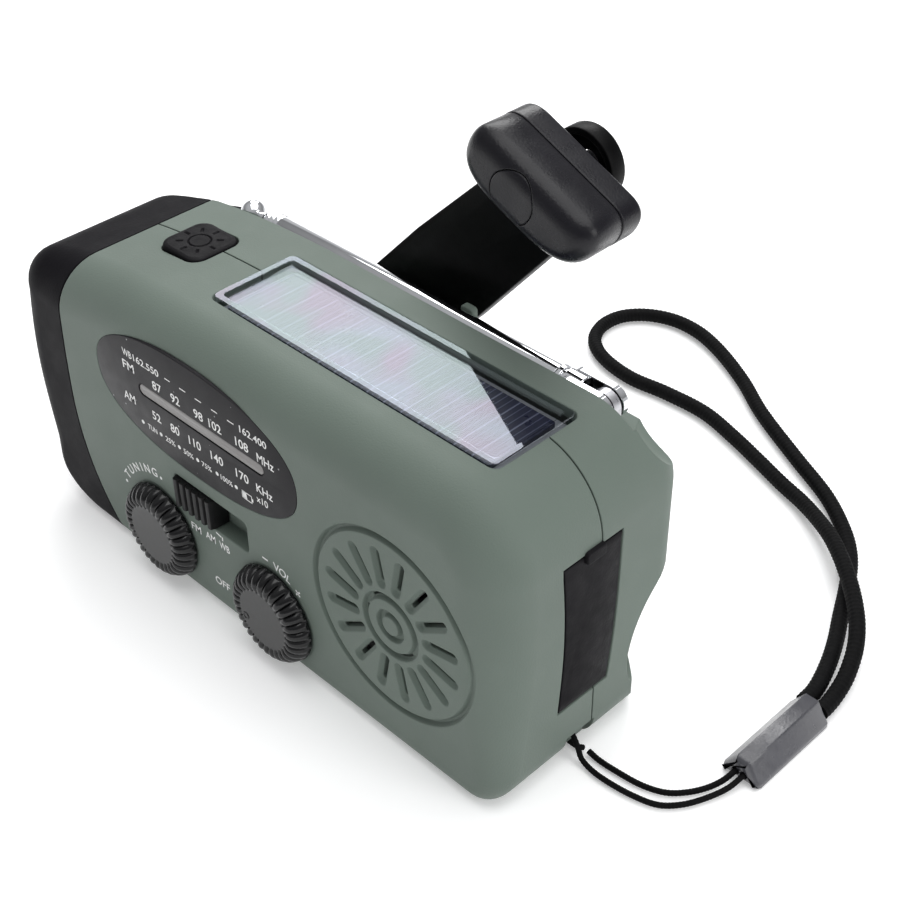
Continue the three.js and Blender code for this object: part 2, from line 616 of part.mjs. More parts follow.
const LOOK = {
  green: () => material(0x6d7b6e, 0.75),
  blackRubber: () => material(0x1b1b1d, 0.8),
  blackGloss: () => material(0x0e0e10, 0.25),
  blackSatin: () => material(0x17171a, 0.5),
  grey: () => material(0x4a494e, 0.6),
  clear: () => material(0xdfe6ea, 0.1, 0, 0.35),
  white: () => material(0xc9cac8, 0.5),
  cell: () => material(0x14162e, 0.3),
  chrome: () => material(0xd8dadd, 0.12, 1),
  steel: () => material(0x9a9da1, 0.35, 1),
  brass: () => material(0xb08a3c, 0.35, 1),
  board: () => material(0x1e5a35, 0.6),
  nylon: () => material(0xe4e2d8, 0.6),
  ferrite: () => material(0x2a2a2c, 0.7),
  wrap: () => material(0x2f5fa8, 0.45),
  cord: () => material(0x121213, 0.9),
};

function named(name, body, look) {
  const mesh = new THREE.Mesh(geometryOf(body), look());
  mesh.name = name;
  return mesh;
}

function group(...children) {
  const holder = new THREE.Group();
  holder.add(...children);
  return holder;
}

function housing() {
  const { front, back, bezel } = buildShells();
  const lensBack = TORCH.lens + 1.5;
  const reflector = torchOpening(-GAP, lensBack + 1, -47.5);
  const cones = TORCH.leds.map((z) => turnedX(
    [[0, -49], [TORCH.led + 0.6, -49], [5.6, lensBack], [0, lensBack]], 0, z, 20));
  const ledBores = TORCH.leds.map((z) => cylinderX(0, z, TORCH.led + 0.6, -50, -45, 20));
  const leds = TORCH.leds.map((z, i) => named(`torch_led_${i + 1}`,
    cylinderX(0, z, TORCH.led, -52, -45.4, 10).add(ball(-52, 0, z, TORCH.led, 10)), LOOK.clear));
  const screws = SCREWS.map(([x, z], i) => named(`housing_screw_${i + 1}`,
    screwBoss(x, z, 1.4, -8, BACK - 1).add(screwBoss(x, z, 2.6, BACK - 2.3, BACK - 0.5)), LOOK.steel));
  return group(
    named('front_shell', front, LOOK.green),
    named('back_shell', back, LOOK.green),
    named('torch_bezel', bezel, LOOK.blackRubber),
    named('torch_lens', torchOpening(-GAP, TORCH.lens, lensBack), LOOK.clear),
    named('torch_reflector', reflector.subtract(addAll(cones)).subtract(addAll(ledBores)), LOOK.chrome),
    ...leds,
    named('torch_board', box(-45.1, -43.9, -9, 9, 14, 46), LOOK.board),
    ...screws,
  );
}

function frontPanel() {
  const panel = dialHole(0, FRONT, FRONT + DIAL.depth - GAP / 2)
    .subtract(scaleSlot(0, FRONT - 1, FRONT + 3));
  return group(
    named('dial_panel', panel, LOOK.grey),
    named('scale_window', scaleSlot(-GAP / 2, FRONT + 0.05, FRONT + 1), LOOK.white),
  );
}

function speaker() {
  const { x, z } = SPEAKER;
  const face = FRONT + WALL + GAP;
  const basket = turned([[15, face], [16.4, face], [16.4, face + 2], [10, face + 9], [10, face + 11],
    [8.4, face + 11], [8.4, face + 9.4], [15, face + 3], [15, face]], x, z);
  const cone = turned([[0, face + 5.6], [4.4, face + 5.6], [13.4, face], [14.6, face],
    [14.6, face + 1], [5, face + 6.4], [0, face + 6.4]], x, z);
  const magnet = cylinderY(x, z, 9.4, face + 11 + GAP, face + 15.3);
  return group(
    named('speaker_basket', basket, LOOK.steel),
    named('speaker_cone', cone, LOOK.ferrite),
    named('speaker_magnet', magnet, LOOK.ferrite),
  );
}

function electronics() {
  const boardFront = BOARD.y;
  const capacitor = box(TUNING.x - 8, TUNING.x + 8, -16, boardFront - GAP,
    TUNING.z - 7.6, TUNING.z + 7.6);
  const pot = cylinderY(VOLUME.x, VOLUME.z, 8, -15, boardFront - GAP);
  const bandSwitch = box(BAND.x0 + 1, BAND.x1 - 1, -14.6, boardFront - GAP, 21.4, 26.8);
  return group(
    named('main_board', box(-34, 18, boardFront, boardFront + BOARD.thickness, 3.6, 50), LOOK.board),
    named('tuning_capacitor', capacitor, LOOK.nylon),
    named('volume_pot', pot, LOOK.steel),
    named('band_switch', bandSwitch, LOOK.steel),
    named('ferrite_rod', cylinderX(-12.2, 53, 2.6, -22, 30, 16), LOOK.ferrite),
    named('light_switch', box(-34.6, -28.6, -2.8, 3.2, 49.5, 53.2), LOOK.blackSatin),
    named('light_board', box(-38, -24, -4.4, 6, 48, 49.2), LOOK.board),
    named('battery', cylinderX(BATTERY.y, BATTERY.z, BATTERY.radius, BATTERY.x0, BATTERY.x1), LOOK.wrap),
    named('usb_socket', usbHole(-GAP / 2).intersect(box(50, 61.8, -9, 9, 0, HEIGHT)), LOOK.steel),
    named('charge_socket', chargeHole(-GAP / 2).intersect(box(54, 61.8, -9, 9, 0, HEIGHT)), LOOK.steel),
  );
}

function solarPanel() {
  const { x0, x1, y0, y1, corner } = SOLAR;
  const g = GAP;
  const outer = roundedRectangle(x0 + g, x1 - g, y0 + g, y1 - g, corner);
  const cover = prismZ(outer, HEIGHT - 1.8, HEIGHT + 0.4)
    .subtract(prismZ(roundedRectangle(x0 + 2, x1 - 2, y0 + 2, y1 - 2, 1), HEIGHT - 0.4, HEIGHT + CUT));
  return group(
    named('solar_cover', cover, LOOK.clear),
    named('solar_cell', box(x0 + 2, x1 - 3.2, y0 + 2, y1 - 2, 57, 57.9), LOOK.cell),
  );
}

function gearbox() {
  const x2 = HUB.x + GEAR_SPACING;
  const x3 = x2 + GEAR_SPACING;
  const plate = box(HUB.x - 6, x3 + 9, 8.8, 9.8, 24.2, 48.6)
    .subtract(cylinderY(x3, HUB.z, 2.2, 5, 14, 16))
    .add(cylinderY(x2, HUB.z, 1.4, 9, 18.9, 16));
  return group(
    named('gearbox_plate', plate, LOOK.steel),
    named('generator', cylinderY(x3, HUB.z, 9.6, -3.6, 8.5), LOOK.steel),
  );
}

function movingGears() {
  const x2 = HUB.x + GEAR_SPACING;
  const x3 = x2 + GEAR_SPACING;
  const halfTooth = Math.PI / GEAR.pinion;
  const bore = 1.4 + GAP / 2;
  const stepUp = gear(GEAR.pinion, x2, HUB.z, 14, 18.4, halfTooth, bore)
    .add(gear(GEAR.wheel, x2, HUB.z, 10.6, 13.6, 0, bore))
    .add(turned([[bore, 13], [3.6, 13], [3.6, 15], [bore, 15], [bore, 13]], x2, HUB.z, 16));
  const rotor = gear(GEAR.pinion, x3, HUB.z, 10.4, 14, halfTooth, 0)
    .add(cylinderY(x3, HUB.z, 1.2, 8.8, 11, 12));
  return group(
    named('step_up_gear', stepUp, LOOK.nylon),
    named('generator_pinion', rotor, LOOK.brass),
  );
}

function controls() {
  const button = prismZ(buttonOutline(0), 57, LIGHT_BUTTON.top)
    .add(box(LIGHT_BUTTON.x - 1.5, LIGHT_BUTTON.x + 1.5, -1.3, 1.7, 54.2, 58));
  const pointerX = SCALE_SLOT.x0 + 0.8;
  const pointer = box(pointerX - 0.5, pointerX + 0.5, -19.4, -18.5, 39, 49)
    .add(box(pointerX - 2, pointerX + 2, -19.4, -18.5, 47.6, 49.4));
  const flap = prismX(roundedRectangle(PORT.y0 + GAP, PORT.y1 - GAP, PORT.z0 + GAP, PORT.z1 - GAP, 1),
    RIGHT - PORT.depth + GAP, RIGHT);
  const tab = box(RIGHT - 0.5, RIGHT + 0.8, -3, 1.4, PORT.z1 - 2.6, PORT.z1 - 0.4);
  return group(
    named('tuning_knob', knobBody(TUNING), LOOK.blackGloss),
    named('tuning_shaft', knobShaft(TUNING, -16.3), LOOK.brass),
    named('volume_knob', knobBody(VOLUME), LOOK.blackGloss),
    named('volume_shaft', knobShaft(VOLUME, -15.3), LOOK.brass),
    named('band_slider', bandSlider(), LOOK.blackSatin),
    named('dial_pointer', pointer, LOOK.white),
    named('light_button', button, LOOK.blackRubber),
    named('port_cover', flap.add(tab), LOOK.blackRubber),
  );
}

function aerial() {
  const { x, y, z } = AERIAL;
  const bracket = box(x - 2.7, x + 2.7, y - 0.8, y + 0.8, 42, z)
    .add(cylinderY(x, z, 2.7, y - 0.8, y + 0.8, 16))
    .add(cylinderY(x, z, 0.9, y - 2.9, y + 2.9, 12));
  return group(
    named('aerial_bracket', bracket, LOOK.steel),
    named('aerial_knuckle', aerialKnuckle(), LOOK.chrome),
    ...[0, 1, 2].map((index) => named(`aerial_section_${index + 1}`, aerialSection(index), LOOK.chrome)),
    named('aerial_tip', aerialTip(), LOOK.chrome),
  );
}

function crank() {
  const spin = group(
    named('crank_hub', crankHub(), LOOK.blackSatin),
    named('drive_gear', gear(GEAR.wheel, 0, 0, 15, 18, -CRANK_ANGLE, HUB.shaft + GAP / 2), LOOK.nylon),
    named('fold_pin', foldCylinder(1, 17.2), LOOK.steel),
    named('crank_arm', crankArm(), LOOK.blackSatin),
  );
  spin.position.set(HUB.x, 0, HUB.z);
  spin.rotation.y = -CRANK_ANGLE;
  const grip = group(
    named('grip_shell', gripFront(), LOOK.blackSatin),
    named('grip_band', gripBand(), LOOK.blackSatin),
    named('grip_cap', cylinderY(-0.2, 1, 4.1, GRIP.front, GRIP.front + 0.9, 24), LOOK.blackSatin),
    named('grip_axle', gripAxle(), LOOK.steel),
  );
  grip.position.set(HUB.x + CRANK_RADIUS * Math.cos(CRANK_ANGLE), 0,
    HUB.z + CRANK_RADIUS * Math.sin(CRANK_ANGLE));
  grip.rotation.y = GRIP.tilt;
  return group(spin, grip);
}

function strap() {
  return group(
    named('strap_loop', tubeAlong(STRAP_LOOP, LOOP_RADIUS, 46), LOOK.cord),
    named('strap_lock', strapLock(), LOOK.blackSatin),
    named('strap_thread_1', tubeAlong(STRAP_THREAD_A, THREAD_RADIUS, 30), LOOK.cord),
    named('strap_thread_2', tubeAlong(STRAP_THREAD_B, THREAD_RADIUS, 16), LOOK.cord),
  );
}

export default group(
  housing(), frontPanel(), speaker(), electronics(), solarPanel(), gearbox(), movingGears(),
  controls(), aerial(), crank(), strap(),
);
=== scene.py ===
"""Looks of the hand-cranked emergency radio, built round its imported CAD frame.

Shapes are drawn in millimetres in the CAD frame and scaled to metres when a piece is finished:
+Z up, the dial faces -Y, the torch is at -X and the charging ports are at +X.
"""

import math

import bmesh
import bpy
import numpy as np
from mathutils import Matrix, Vector
from mathutils.bvhtree import BVHTree
from mathutils.geometry import barycentric_transform


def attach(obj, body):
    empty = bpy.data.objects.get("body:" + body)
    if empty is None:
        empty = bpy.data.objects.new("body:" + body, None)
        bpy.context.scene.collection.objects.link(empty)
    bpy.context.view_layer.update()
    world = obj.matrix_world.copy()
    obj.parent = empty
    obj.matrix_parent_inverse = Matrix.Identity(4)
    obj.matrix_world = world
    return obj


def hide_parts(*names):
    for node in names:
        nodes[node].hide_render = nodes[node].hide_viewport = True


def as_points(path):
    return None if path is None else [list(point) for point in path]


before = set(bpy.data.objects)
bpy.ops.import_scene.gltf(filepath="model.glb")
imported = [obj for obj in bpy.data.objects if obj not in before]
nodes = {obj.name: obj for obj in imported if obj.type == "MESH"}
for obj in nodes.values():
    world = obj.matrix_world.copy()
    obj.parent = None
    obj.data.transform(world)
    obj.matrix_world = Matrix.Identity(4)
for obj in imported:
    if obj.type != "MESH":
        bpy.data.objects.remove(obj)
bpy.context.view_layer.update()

# ---- dimensions shared with the CAD, in millimetres ------------------------------------------
FRONT, BACK, RIGHT, HEIGHT = -22.0, 22.0, 64.0, 60.0
WALL, GAP, SEAM_Y, CUT = 2.0, 0.3, 1.0, 5.0
DIAL = (-8.4, 42.5, 27.5, 12.0, 2.3)
SLOT = (-23.4, 10.8, 42.7, 2.4)
SPEAKER = (40.4, 27.8)
TUNING, VOLUME = (-21.7, 11.3), (10.4, 11.1)
BAND = (-16.3, 4.0, 20.6, 27.4, 3.2)
SOLAR = (-15.2, 52.5, -10.6, 8.4)
LIGHT = (-31.6, 0.2, 11.0, 2.6)
PORT = (-7.9, 6.1, 12.9, 46.4)
AERIAL = (50.0, 17.2, 56.0, -37.5)
HUB = (-13.5, 36.5)
CRANK_ANGLE, CRANK_RADIUS, GRIP_TILT = math.radians(47), 74.0, math.radians(24)
FOLD_Y = 25.7
SCREWS = ((-38, 9.5), (-39.6, 41), (36, 7), (34.5, 46.5))


# ---- materials -------------------------------------------------------------------------------
class Look:
    """A procedural material: one Principled shader with colour, roughness and bump from noise."""

    def __init__(self, name, colour, roughness, metallic=0.0, specular=0.5, coat=0.0):
        self.material = bpy.data.materials.new(name)
        self.material.use_nodes = True
        self.tree = self.material.node_tree
        self.shader = self.tree.nodes["Principled BSDF"]
        self.shader.inputs["Base Color"].default_value = (*colour, 1)
        self.shader.inputs["Roughness"].default_value = roughness
        self.shader.inputs["Metallic"].default_value = metallic
        self.shader.inputs["Specular IOR Level"].default_value = specular
        self.shader.inputs["Coat Weight"].default_value = coat
        self.colour, self.roughness = colour, roughness
        self.coords = self.add("ShaderNodeTexCoord").outputs["Object"]
        self.normal = None

    def add(self, kind, **values):
        node = self.tree.nodes.new(kind)
        for key, value in values.items():
            setattr(node, key, value)
        return node

    def link(self, a, b):
        self.tree.links.new(a, b)

    def noise(self, scale, detail=3.0, stretch=(1, 1, 1)):
        mapping = self.add("ShaderNodeMapping")
        mapping.inputs["Scale"].default_value = stretch
        self.link(self.coords, mapping.inputs["Vector"])
        node = self.add("ShaderNodeTexNoise")
        node.inputs["Scale"].default_value = scale
        node.inputs["Detail"].default_value = detail
        self.link(mapping.outputs[0], node.inputs["Vector"])
        return node.outputs["Fac"]

    def ramp(self, source, low, high, out_low, out_high):
        node = self.add("ShaderNodeMapRange", clamp=True)
        for key, value in zip((1, 2, 3, 4), (low, high, out_low, out_high)):
            node.inputs[key].default_value = value
        self.link(source, node.inputs[0])
        return node.outputs[0]

    def mix(self, factor, a, b):
        node = self.add("ShaderNodeMix", data_type="RGBA")
        self.link(factor, node.inputs[0])
        for socket, value in ((node.inputs[6], a), (node.inputs[7], b)):
            if isinstance(value, tuple):
                socket.default_value = (*value, 1)
            else:
                self.link(value, socket)
        return node.outputs[2]

    def vary(self, scale=60, amount=0.1, roughness=0.06):
        """Slow changes of tone and of gloss, as handling leaves them."""
        slow = self.noise(scale)
        dark = tuple(c * (1 - amount) for c in self.colour)
        light = tuple(min(1.0, c * (1 + amount)) for c in self.colour)
        self.tint = self.mix(self.ramp(slow, 0.3, 0.7, 0, 1), dark, light)
        self.link(self.tint, self.shader.inputs["Base Color"])
        gloss = self.ramp(
            self.noise(scale * 5), 0.3, 0.7, self.roughness - roughness, self.roughness + roughness
        )
        self.link(gloss, self.shader.inputs["Roughness"])
        return self

    def specks(self, scale, share, colour):
        """Small bright dots of dust or flake."""
        node = self.add("ShaderNodeTexVoronoi")
        node.inputs["Scale"].default_value = scale
        self.link(self.coords, node.inputs["Vector"])
        near = self.ramp(node.outputs["Distance"], 0.10, 0.17, 1, 0)
        picked = self.add("ShaderNodeMath", operation="LESS_THAN")
        split = self.add("ShaderNodeSeparateColor")
        self.link(node.outputs["Color"], split.inputs[0])
        self.link(split.outputs[0], picked.inputs[0])
        picked.inputs[1].default_value = share
        both = self.add("ShaderNodeMath", operation="MULTIPLY")
        self.link(near, both.inputs[0])
        self.link(picked.outputs[0], both.inputs[1])
        self.tint = self.mix(both.outputs[0], self.tint, colour)
        self.link(self.tint, self.shader.inputs["Base Color"])
        return self

    def bump(self, height, distance, strength=1.0):
        node = self.add("ShaderNodeBump")
        node.inputs["Distance"].default_value = distance
        node.inputs["Strength"].default_value = strength
        self.link(height, node.inputs["Height"])
        if self.normal is not None:
            self.link(self.normal, node.inputs["Normal"])
        self.normal = node.outputs[0]
        self.link(self.normal, self.shader.inputs["Normal"])
        return self

    def grain(self, scale, distance, stretch=(1, 1, 1)):
        return self.bump(self.noise(scale, 2.0, stretch), distance)

    def soften(self, radius):
        """Rounds the look of sharp edges by a radius in millimetres."""
        node = self.add("ShaderNodeBevel", samples=6)
        node.inputs["Radius"].default_value = radius * 0.001
        self.normal = node.outputs[0]
        self.link(self.normal, self.shader.inputs["Normal"])
        return self


def make_looks():
    looks = {
        "green": Look("soft_green", (0.126, 0.158, 0.135), 0.58, specular=0.2)
        .vary(35, 0.05, 0.04).soften(0.35).grain(3200, 0.00004),
        "bezel": Look("bezel_rubber", (0.0052, 0.0046, 0.0062), 0.55, specular=0.07)
        .vary(40, 0.15, 0.05).soften(0.4).grain(2600, 0.00004),
        "rubber": Look("button_rubber", (0.0060, 0.0055, 0.0068), 0.6, specular=0.10)
        .vary(90, 0.2, 0.06).specks(900, 0.03, (0.10, 0.10, 0.10)).grain(2400, 0.00005),
        "gloss": Look("gloss_black", (0.003, 0.003, 0.0035), 0.2, specular=0.42)
        .vary(120, 0.2, 0.05).grain(1500, 0.00001),
        "disc": Look("knob_disc", (0.012, 0.0115, 0.013), 0.45, specular=0.08)
        .vary(120, 0.08, 0.05).grain(3000, 0.00002),
        "satin": Look("satin_black", (0.0058, 0.0054, 0.0080), 0.3, specular=0.28)
        .vary(60, 0.15, 0.06).soften(0.3).grain(2600, 0.00004),
        "arm": Look("arm_black", (0.0014, 0.0014, 0.0016), 0.42, specular=0.08)
        .vary(70, 0.2, 0.06).soften(0.35).grain(3000, 0.00002),
        "slider": Look("slider_black", (0.004, 0.004, 0.0045), 0.5, specular=0.3)
        .vary(140, 0.15, 0.05).soften(0.12).grain(3000, 0.00002),
        "dial": Look("dial_charcoal", (0.012, 0.011, 0.0130), 0.38, specular=0.13)
        .vary(70, 0.08, 0.04).specks(800, 0.07, (0.34, 0.34, 0.35)).grain(3500, 0.000012),
        "window": Look("scale_window", (0.25, 0.24, 0.235), 0.4).vary(60, 0.12, 0.05).grain(2000, 0.00001),
        "print": Look("print_white", (0.78, 0.78, 0.77), 0.55).vary(500, 0.06, 0.05).grain(4000, 0.00001),
        "chrome": Look("chrome", (0.80, 0.81, 0.83), 0.07, 1.0).vary(200, 0.03, 0.03),
        "steel": Look("steel", (0.50, 0.50, 0.52), 0.32, 1.0).vary(150, 0.06, 0.08)
        .grain(900, 0.00001, (1, 1, 12)),
        "brass": Look("brass", (0.62, 0.44, 0.18), 0.3, 1.0).vary(150, 0.06, 0.08).grain(1500, 0.00001),
        "board": Look("board_green", (0.012, 0.09, 0.035), 0.4).vary(400, 0.25, 0.1).grain(1800, 0.00002),
        "nylon": Look("nylon", (0.68, 0.66, 0.58), 0.45).vary(80, 0.04, 0.06).grain(2200, 0.00001),
        "ferrite": Look("dark_paper", (0.022, 0.021, 0.02), 0.75).vary(200, 0.2, 0.06).grain(2500, 0.00006),
        "wrap": Look("battery_wrap", (0.02, 0.10, 0.32), 0.35).vary(60, 0.05, 0.05).grain(700, 0.00001),
        "cord": Look("braid_black", (0.0022, 0.0022, 0.0025), 0.75, specular=0.12).vary(300, 0.25, 0.05)
        .grain(6000, 0.00006),
        "lock": Look("lock_black", (0.055, 0.055, 0.064), 0.24, specular=0.8).vary(90, 0.15, 0.06)
        .soften(0.3).grain(2000, 0.00002),
    }
    looks["green"].shader.inputs["Sheen Weight"].default_value = 0.08
    looks["green"].shader.inputs["Sheen Roughness"].default_value = 0.5
    return {name: look.material for name, look in looks.items()}


def clear_plastic(name, tint, roughness, body=0.02, shine=(0.9, 0.9, 0.9), ior=1.5, play=()):
    """Clear plastic over other pieces: what is behind shows through, and its faces are glossy."""
    look = Look(name, (0.75, 0.78, 0.80), roughness)
    look.vary(90, 0.04, 0.02)
    tree = look.tree
    clear = look.add("ShaderNodeBsdfTransparent")
    clear.inputs["Color"].default_value = (*tint, 1)
    fresnel = look.add("ShaderNodeFresnel")
    fresnel.inputs["IOR"].default_value = ior
    gloss = look.add("ShaderNodeBsdfGlossy")
    gloss.inputs["Color"].default_value = (*shine, 1)
    gloss.inputs["Roughness"].default_value = roughness
    for i, colour in enumerate(play):
        soft = look.ramp(look.noise(60 + 25 * i, 1.0), 0.44, 0.6, 0, 1)
        shine = look.mix(soft, shine, colour)
        look.link(shine, gloss.inputs["Color"])
    haze = look.add("ShaderNodeMixShader")
    haze.inputs[0].default_value = body
    look.link(clear.outputs[0], haze.inputs[1])
    look.link(look.shader.outputs[0], haze.inputs[2])
    outside = look.add("ShaderNodeMath", operation="SUBTRACT", use_clamp=True)
    look.link(fresnel.outputs[0], outside.inputs[0])
    look.link(look.add("ShaderNodeNewGeometry").outputs["Backfacing"], outside.inputs[1])
    skin = look.add("ShaderNodeMixShader")
    look.link(outside.outputs[0], skin.inputs[0])
    look.link(haze.outputs[0], skin.inputs[1])
    look.link(gloss.outputs[0], skin.inputs[2])
    look.link(skin.outputs[0], tree.nodes["Material Output"].inputs["Surface"])
    return look.material


def solar_look():
    """Dark blue cell with thin pale fingers across it and a faint play of colour."""
    look = Look("solar_cell", (0.006, 0.007, 0.022), 0.3, specular=0.3)
    split = look.add("ShaderNodeSeparateXYZ")
    look.link(look.coords, split.inputs[0])
    base = look.mix(
        look.ramp(look.noise(45), 0.35, 0.65, 0, 1), (0.005, 0.006, 0.018), (0.010, 0.012, 0.036)
    )

    def lines(axis, pitch, width, offset=0.0):
        scaled = look.add("ShaderNodeMath", operation="MULTIPLY_ADD")
        look.link(split.outputs[axis], scaled.inputs[0])
        scaled.inputs[1].default_value = 1000 / pitch
        scaled.inputs[2].default_value = 50 + offset
        part = look.add("ShaderNodeMath", operation="FRACT")
        look.link(scaled.outputs[0], part.inputs[0])
        hit = look.add("ShaderNodeMath", operation="LESS_THAN")
        look.link(part.outputs[0], hit.inputs[0])
        hit.inputs[1].default_value = width / pitch
        return hit.outputs[0]

    fine = look.mix(lines(0, 1.3, 0.17), base, (0.09, 0.10, 0.16))
    bars = look.mix(lines(0, 3.9, 0.2, 0.3), fine, (0.16, 0.17, 0.24))
    look.link(bars, look.shader.inputs["Base Color"])
    look.link(look.ramp(look.noise(300), 0.3, 0.7, 0.26, 0.34), look.shader.inputs["Roughness"])
    return look.material


# ---- mesh tools ------------------------------------------------------------------------------
def make_object(name, verts, faces):
    mesh = bpy.data.meshes.new(name)
    mesh.from_pydata([tuple(v) for v in verts], [], faces)
    mesh.validate()
    made = bmesh.new()
    made.from_mesh(mesh)
    if made.calc_volume(signed=True) < 0:
        bmesh.ops.reverse_faces(made, faces=made.faces)
    made.to_mesh(mesh)
    made.free()
    obj = bpy.data.objects.new(name, mesh)
    bpy.context.scene.collection.objects.link(obj)
    return obj


def rings_solid(rings):
    """Verts and faces of equal closed rings joined in order; the two ends are capped."""
    n = len(rings[0])
    verts = [v for ring in rings for v in ring]
    faces = []
    for r in range(len(rings) - 1):
        a, b = r * n, (r + 1) * n
        faces += [(a + i, a + (i + 1) % n, b + (i + 1) % n, b + i) for i in range(n)]
    faces.append(tuple(range(n))[::-1])
    faces.append(tuple(range((len(rings) - 1) * n, len(rings) * n)))
    return verts, faces


def place(points, axis, at):
    """2-D points put across an axis: x gives (y, z), y gives (x, z), z gives (x, y)."""
    if axis == "x":
        return [(at, p[0], p[1]) for p in points]
    if axis == "y":
        return [(p[0], at, p[1]) for p in points]
    return [(p[0], p[1], at) for p in points]


def outward(points):
    """Unit normals of a closed outline that runs anticlockwise."""
    p = np.array(points, float)
    along = np.roll(p, -1, 0) - np.roll(p, 1, 0)
    along /= np.linalg.norm(along, axis=1)[:, None]
    return np.stack([along[:, 1], -along[:, 0]], 1)


def grown(points, amount):
    return np.array(points, float) + outward(points) * amount


def loft(points, axis, steps):
    """A solid from one outline, with steps of (place along the axis, growth of the outline)."""
    return rings_solid([place(grown(points, grow), axis, at) for at, grow in steps])


def resampled(points, n):
    """The same closed outline with n evenly spaced points."""
    p = np.array(list(points) + [points[0]], float)
    run = np.concatenate([[0], np.cumsum(np.linalg.norm(np.diff(p, axis=0), axis=1))])
    even = np.linspace(0, run[-1], n, endpoint=False)
    return [tuple(q) for q in np.stack([np.interp(even, run, p[:, k]) for k in (0, 1)], 1)]


def rounded_rect(x0, x1, y0, y1, r, n=8):
    out = []
    for cx, cy, start in ((x1 - r, y0 + r, -90), (x1 - r, y1 - r, 0), (x0 + r, y1 - r, 90),
                          (x0 + r, y0 + r, 180)):
        for i in range(n + 1):
            a = math.radians(start + 90 * i / n)
            out.append((cx + r * math.cos(a), cy + r * math.sin(a)))
    return out


def circle(x, y, r, n=64):
    return [(x + r * math.cos(2 * math.pi * i / n), y + r * math.sin(2 * math.pi * i / n))
            for i in range(n)]


def superellipse(n=160, grow=0.0):
    x, z, a, b, power = DIAL
    out = []
    for i in range(n):
        t = 2 * math.pi * i / n
        c, s = math.cos(t), math.sin(t)
        out.append((x + (a + grow) * math.copysign(abs(c) ** (2 / power), c),
                    z + (b + grow) * math.copysign(abs(s) ** (2 / power), s)))
    return out


def box_solid(x0, x1, y0, y1, z0, z1):
    return rings_solid([place([(x0, y0), (x1, y0), (x1, y1), (x0, y1)], "z", z) for z in (z0, z1)])


def lathe(profile, axis, centre, n=64, wobble=None):
    """A profile of (radius, place along the axis); radius 0 closes it at a pole."""
    verts, faces, rings = [], [], []
    for k, (r, t) in enumerate(profile):
        if r < 1e-6:
            rings.append([len(verts)])
            verts += place([centre], axis, t)
            continue
        rings.append(list(range(len(verts), len(verts) + n)))
        for i in range(n):
            a = 2 * math.pi * i / n
            rr, tt = (r, t) if wobble is None else wobble(k, a, r, t)
            verts += place([(centre[0] + rr * math.cos(a), centre[1] + rr * math.sin(a))], axis, tt)
    for a, b in zip(rings, rings[1:]):
        if len(a) == 1 and len(b) == 1:
            continue
        for i in range(n):
            j = (i + 1) % n
            if len(a) == 1:
                faces.append((a[0], b[j], b[i]))
            elif len(b) == 1:
                faces.append((a[i], a[j], b[0]))
            else:
                faces.append((a[i], a[j], b[j], b[i]))
    for ring, turn in ((rings[0], -1), (rings[-1], 1)):
        if len(ring) > 1:
            faces.append(tuple(ring[::turn]))
    return verts, faces


def moved(solid, matrix):
    verts, faces = solid
    return [tuple(matrix @ Vector(v)) for v in verts], faces


def joined(*solids):
    verts, faces = [], []
    for v, f in solids:
        faces += [tuple(i + len(verts) for i in face) for face in f]
        verts += list(v)
    return verts, faces


def boolean(obj, solids, operation="DIFFERENCE"):
    """Joins or cuts obj with each solid in turn."""
    for verts, faces in solids:
        tool = make_object("tool", verts, faces)
        modifier = obj.modifiers.new("cut", "BOOLEAN")
        modifier.operation, modifier.object, modifier.solver = operation, tool, "MANIFOLD"
        graph = bpy.context.evaluated_depsgraph_get()
        result = bpy.data.meshes.new_from_object(obj.evaluated_get(graph))
        obj.modifiers.clear()
        old = obj.data
        obj.data = result
        bpy.data.meshes.remove(old)
        drop(tool)


def drop(obj):
    mesh = obj.data
    bpy.data.objects.remove(obj)
    bpy.data.meshes.remove(mesh)


def shade(mesh, degrees):
    """Smooth faces, with creases kept where two faces meet at more than that angle."""
    made = bmesh.new()
    made.from_mesh(mesh)
    limit = math.radians(degrees)
    for face in made.faces:
        face.smooth = True
    for edge in made.edges:
        edge.smooth = len(edge.link_faces) == 2 and edge.calc_face_angle(0) < limit
    made.to_mesh(mesh)
    made.free()


def finish(obj, name, body, materials, replaces=(), slot=None, degrees=35):
    obj.name = obj.data.name = name
    obj.data.transform(Matrix.Scale(0.001, 4))
    if degrees:
        shade(obj.data, degrees)
    obj.data.materials.clear()
    for item in materials if isinstance(materials, list) else [materials]:
        obj.data.materials.append(item)
    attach(obj, body)
    if replaces:
        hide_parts(*replaces)
    return obj


def piece(name, solid, body, materials, replaces=(), slot=None, degrees=35):
    return finish(make_object(name, *solid), name, body, materials, replaces, slot, degrees)


# ---- camera ----------------------------------------------------------------------------------
def make_camera():
    data = bpy.data.cameras.new("camera")
    data.lens, data.sensor_width = 64.17, 36
    data.clip_start, data.clip_end = 0.01, 20
    camera = bpy.data.objects.new("camera", data)
    right = (0.706003, 0.708099, -0.012432)
    up = (-0.430380, 0.442915, 0.786511)
    ahead = (-0.562434, 0.549929, -0.617451)
    at = (0.17889, -0.14343, 0.20776)
    camera.matrix_world = Matrix(
        [(right[i], up[i], -ahead[i], at[i]) for i in range(3)] + [(0, 0, 0, 1)]
    )
    bpy.context.scene.collection.objects.link(camera)
    bpy.context.scene.camera = camera


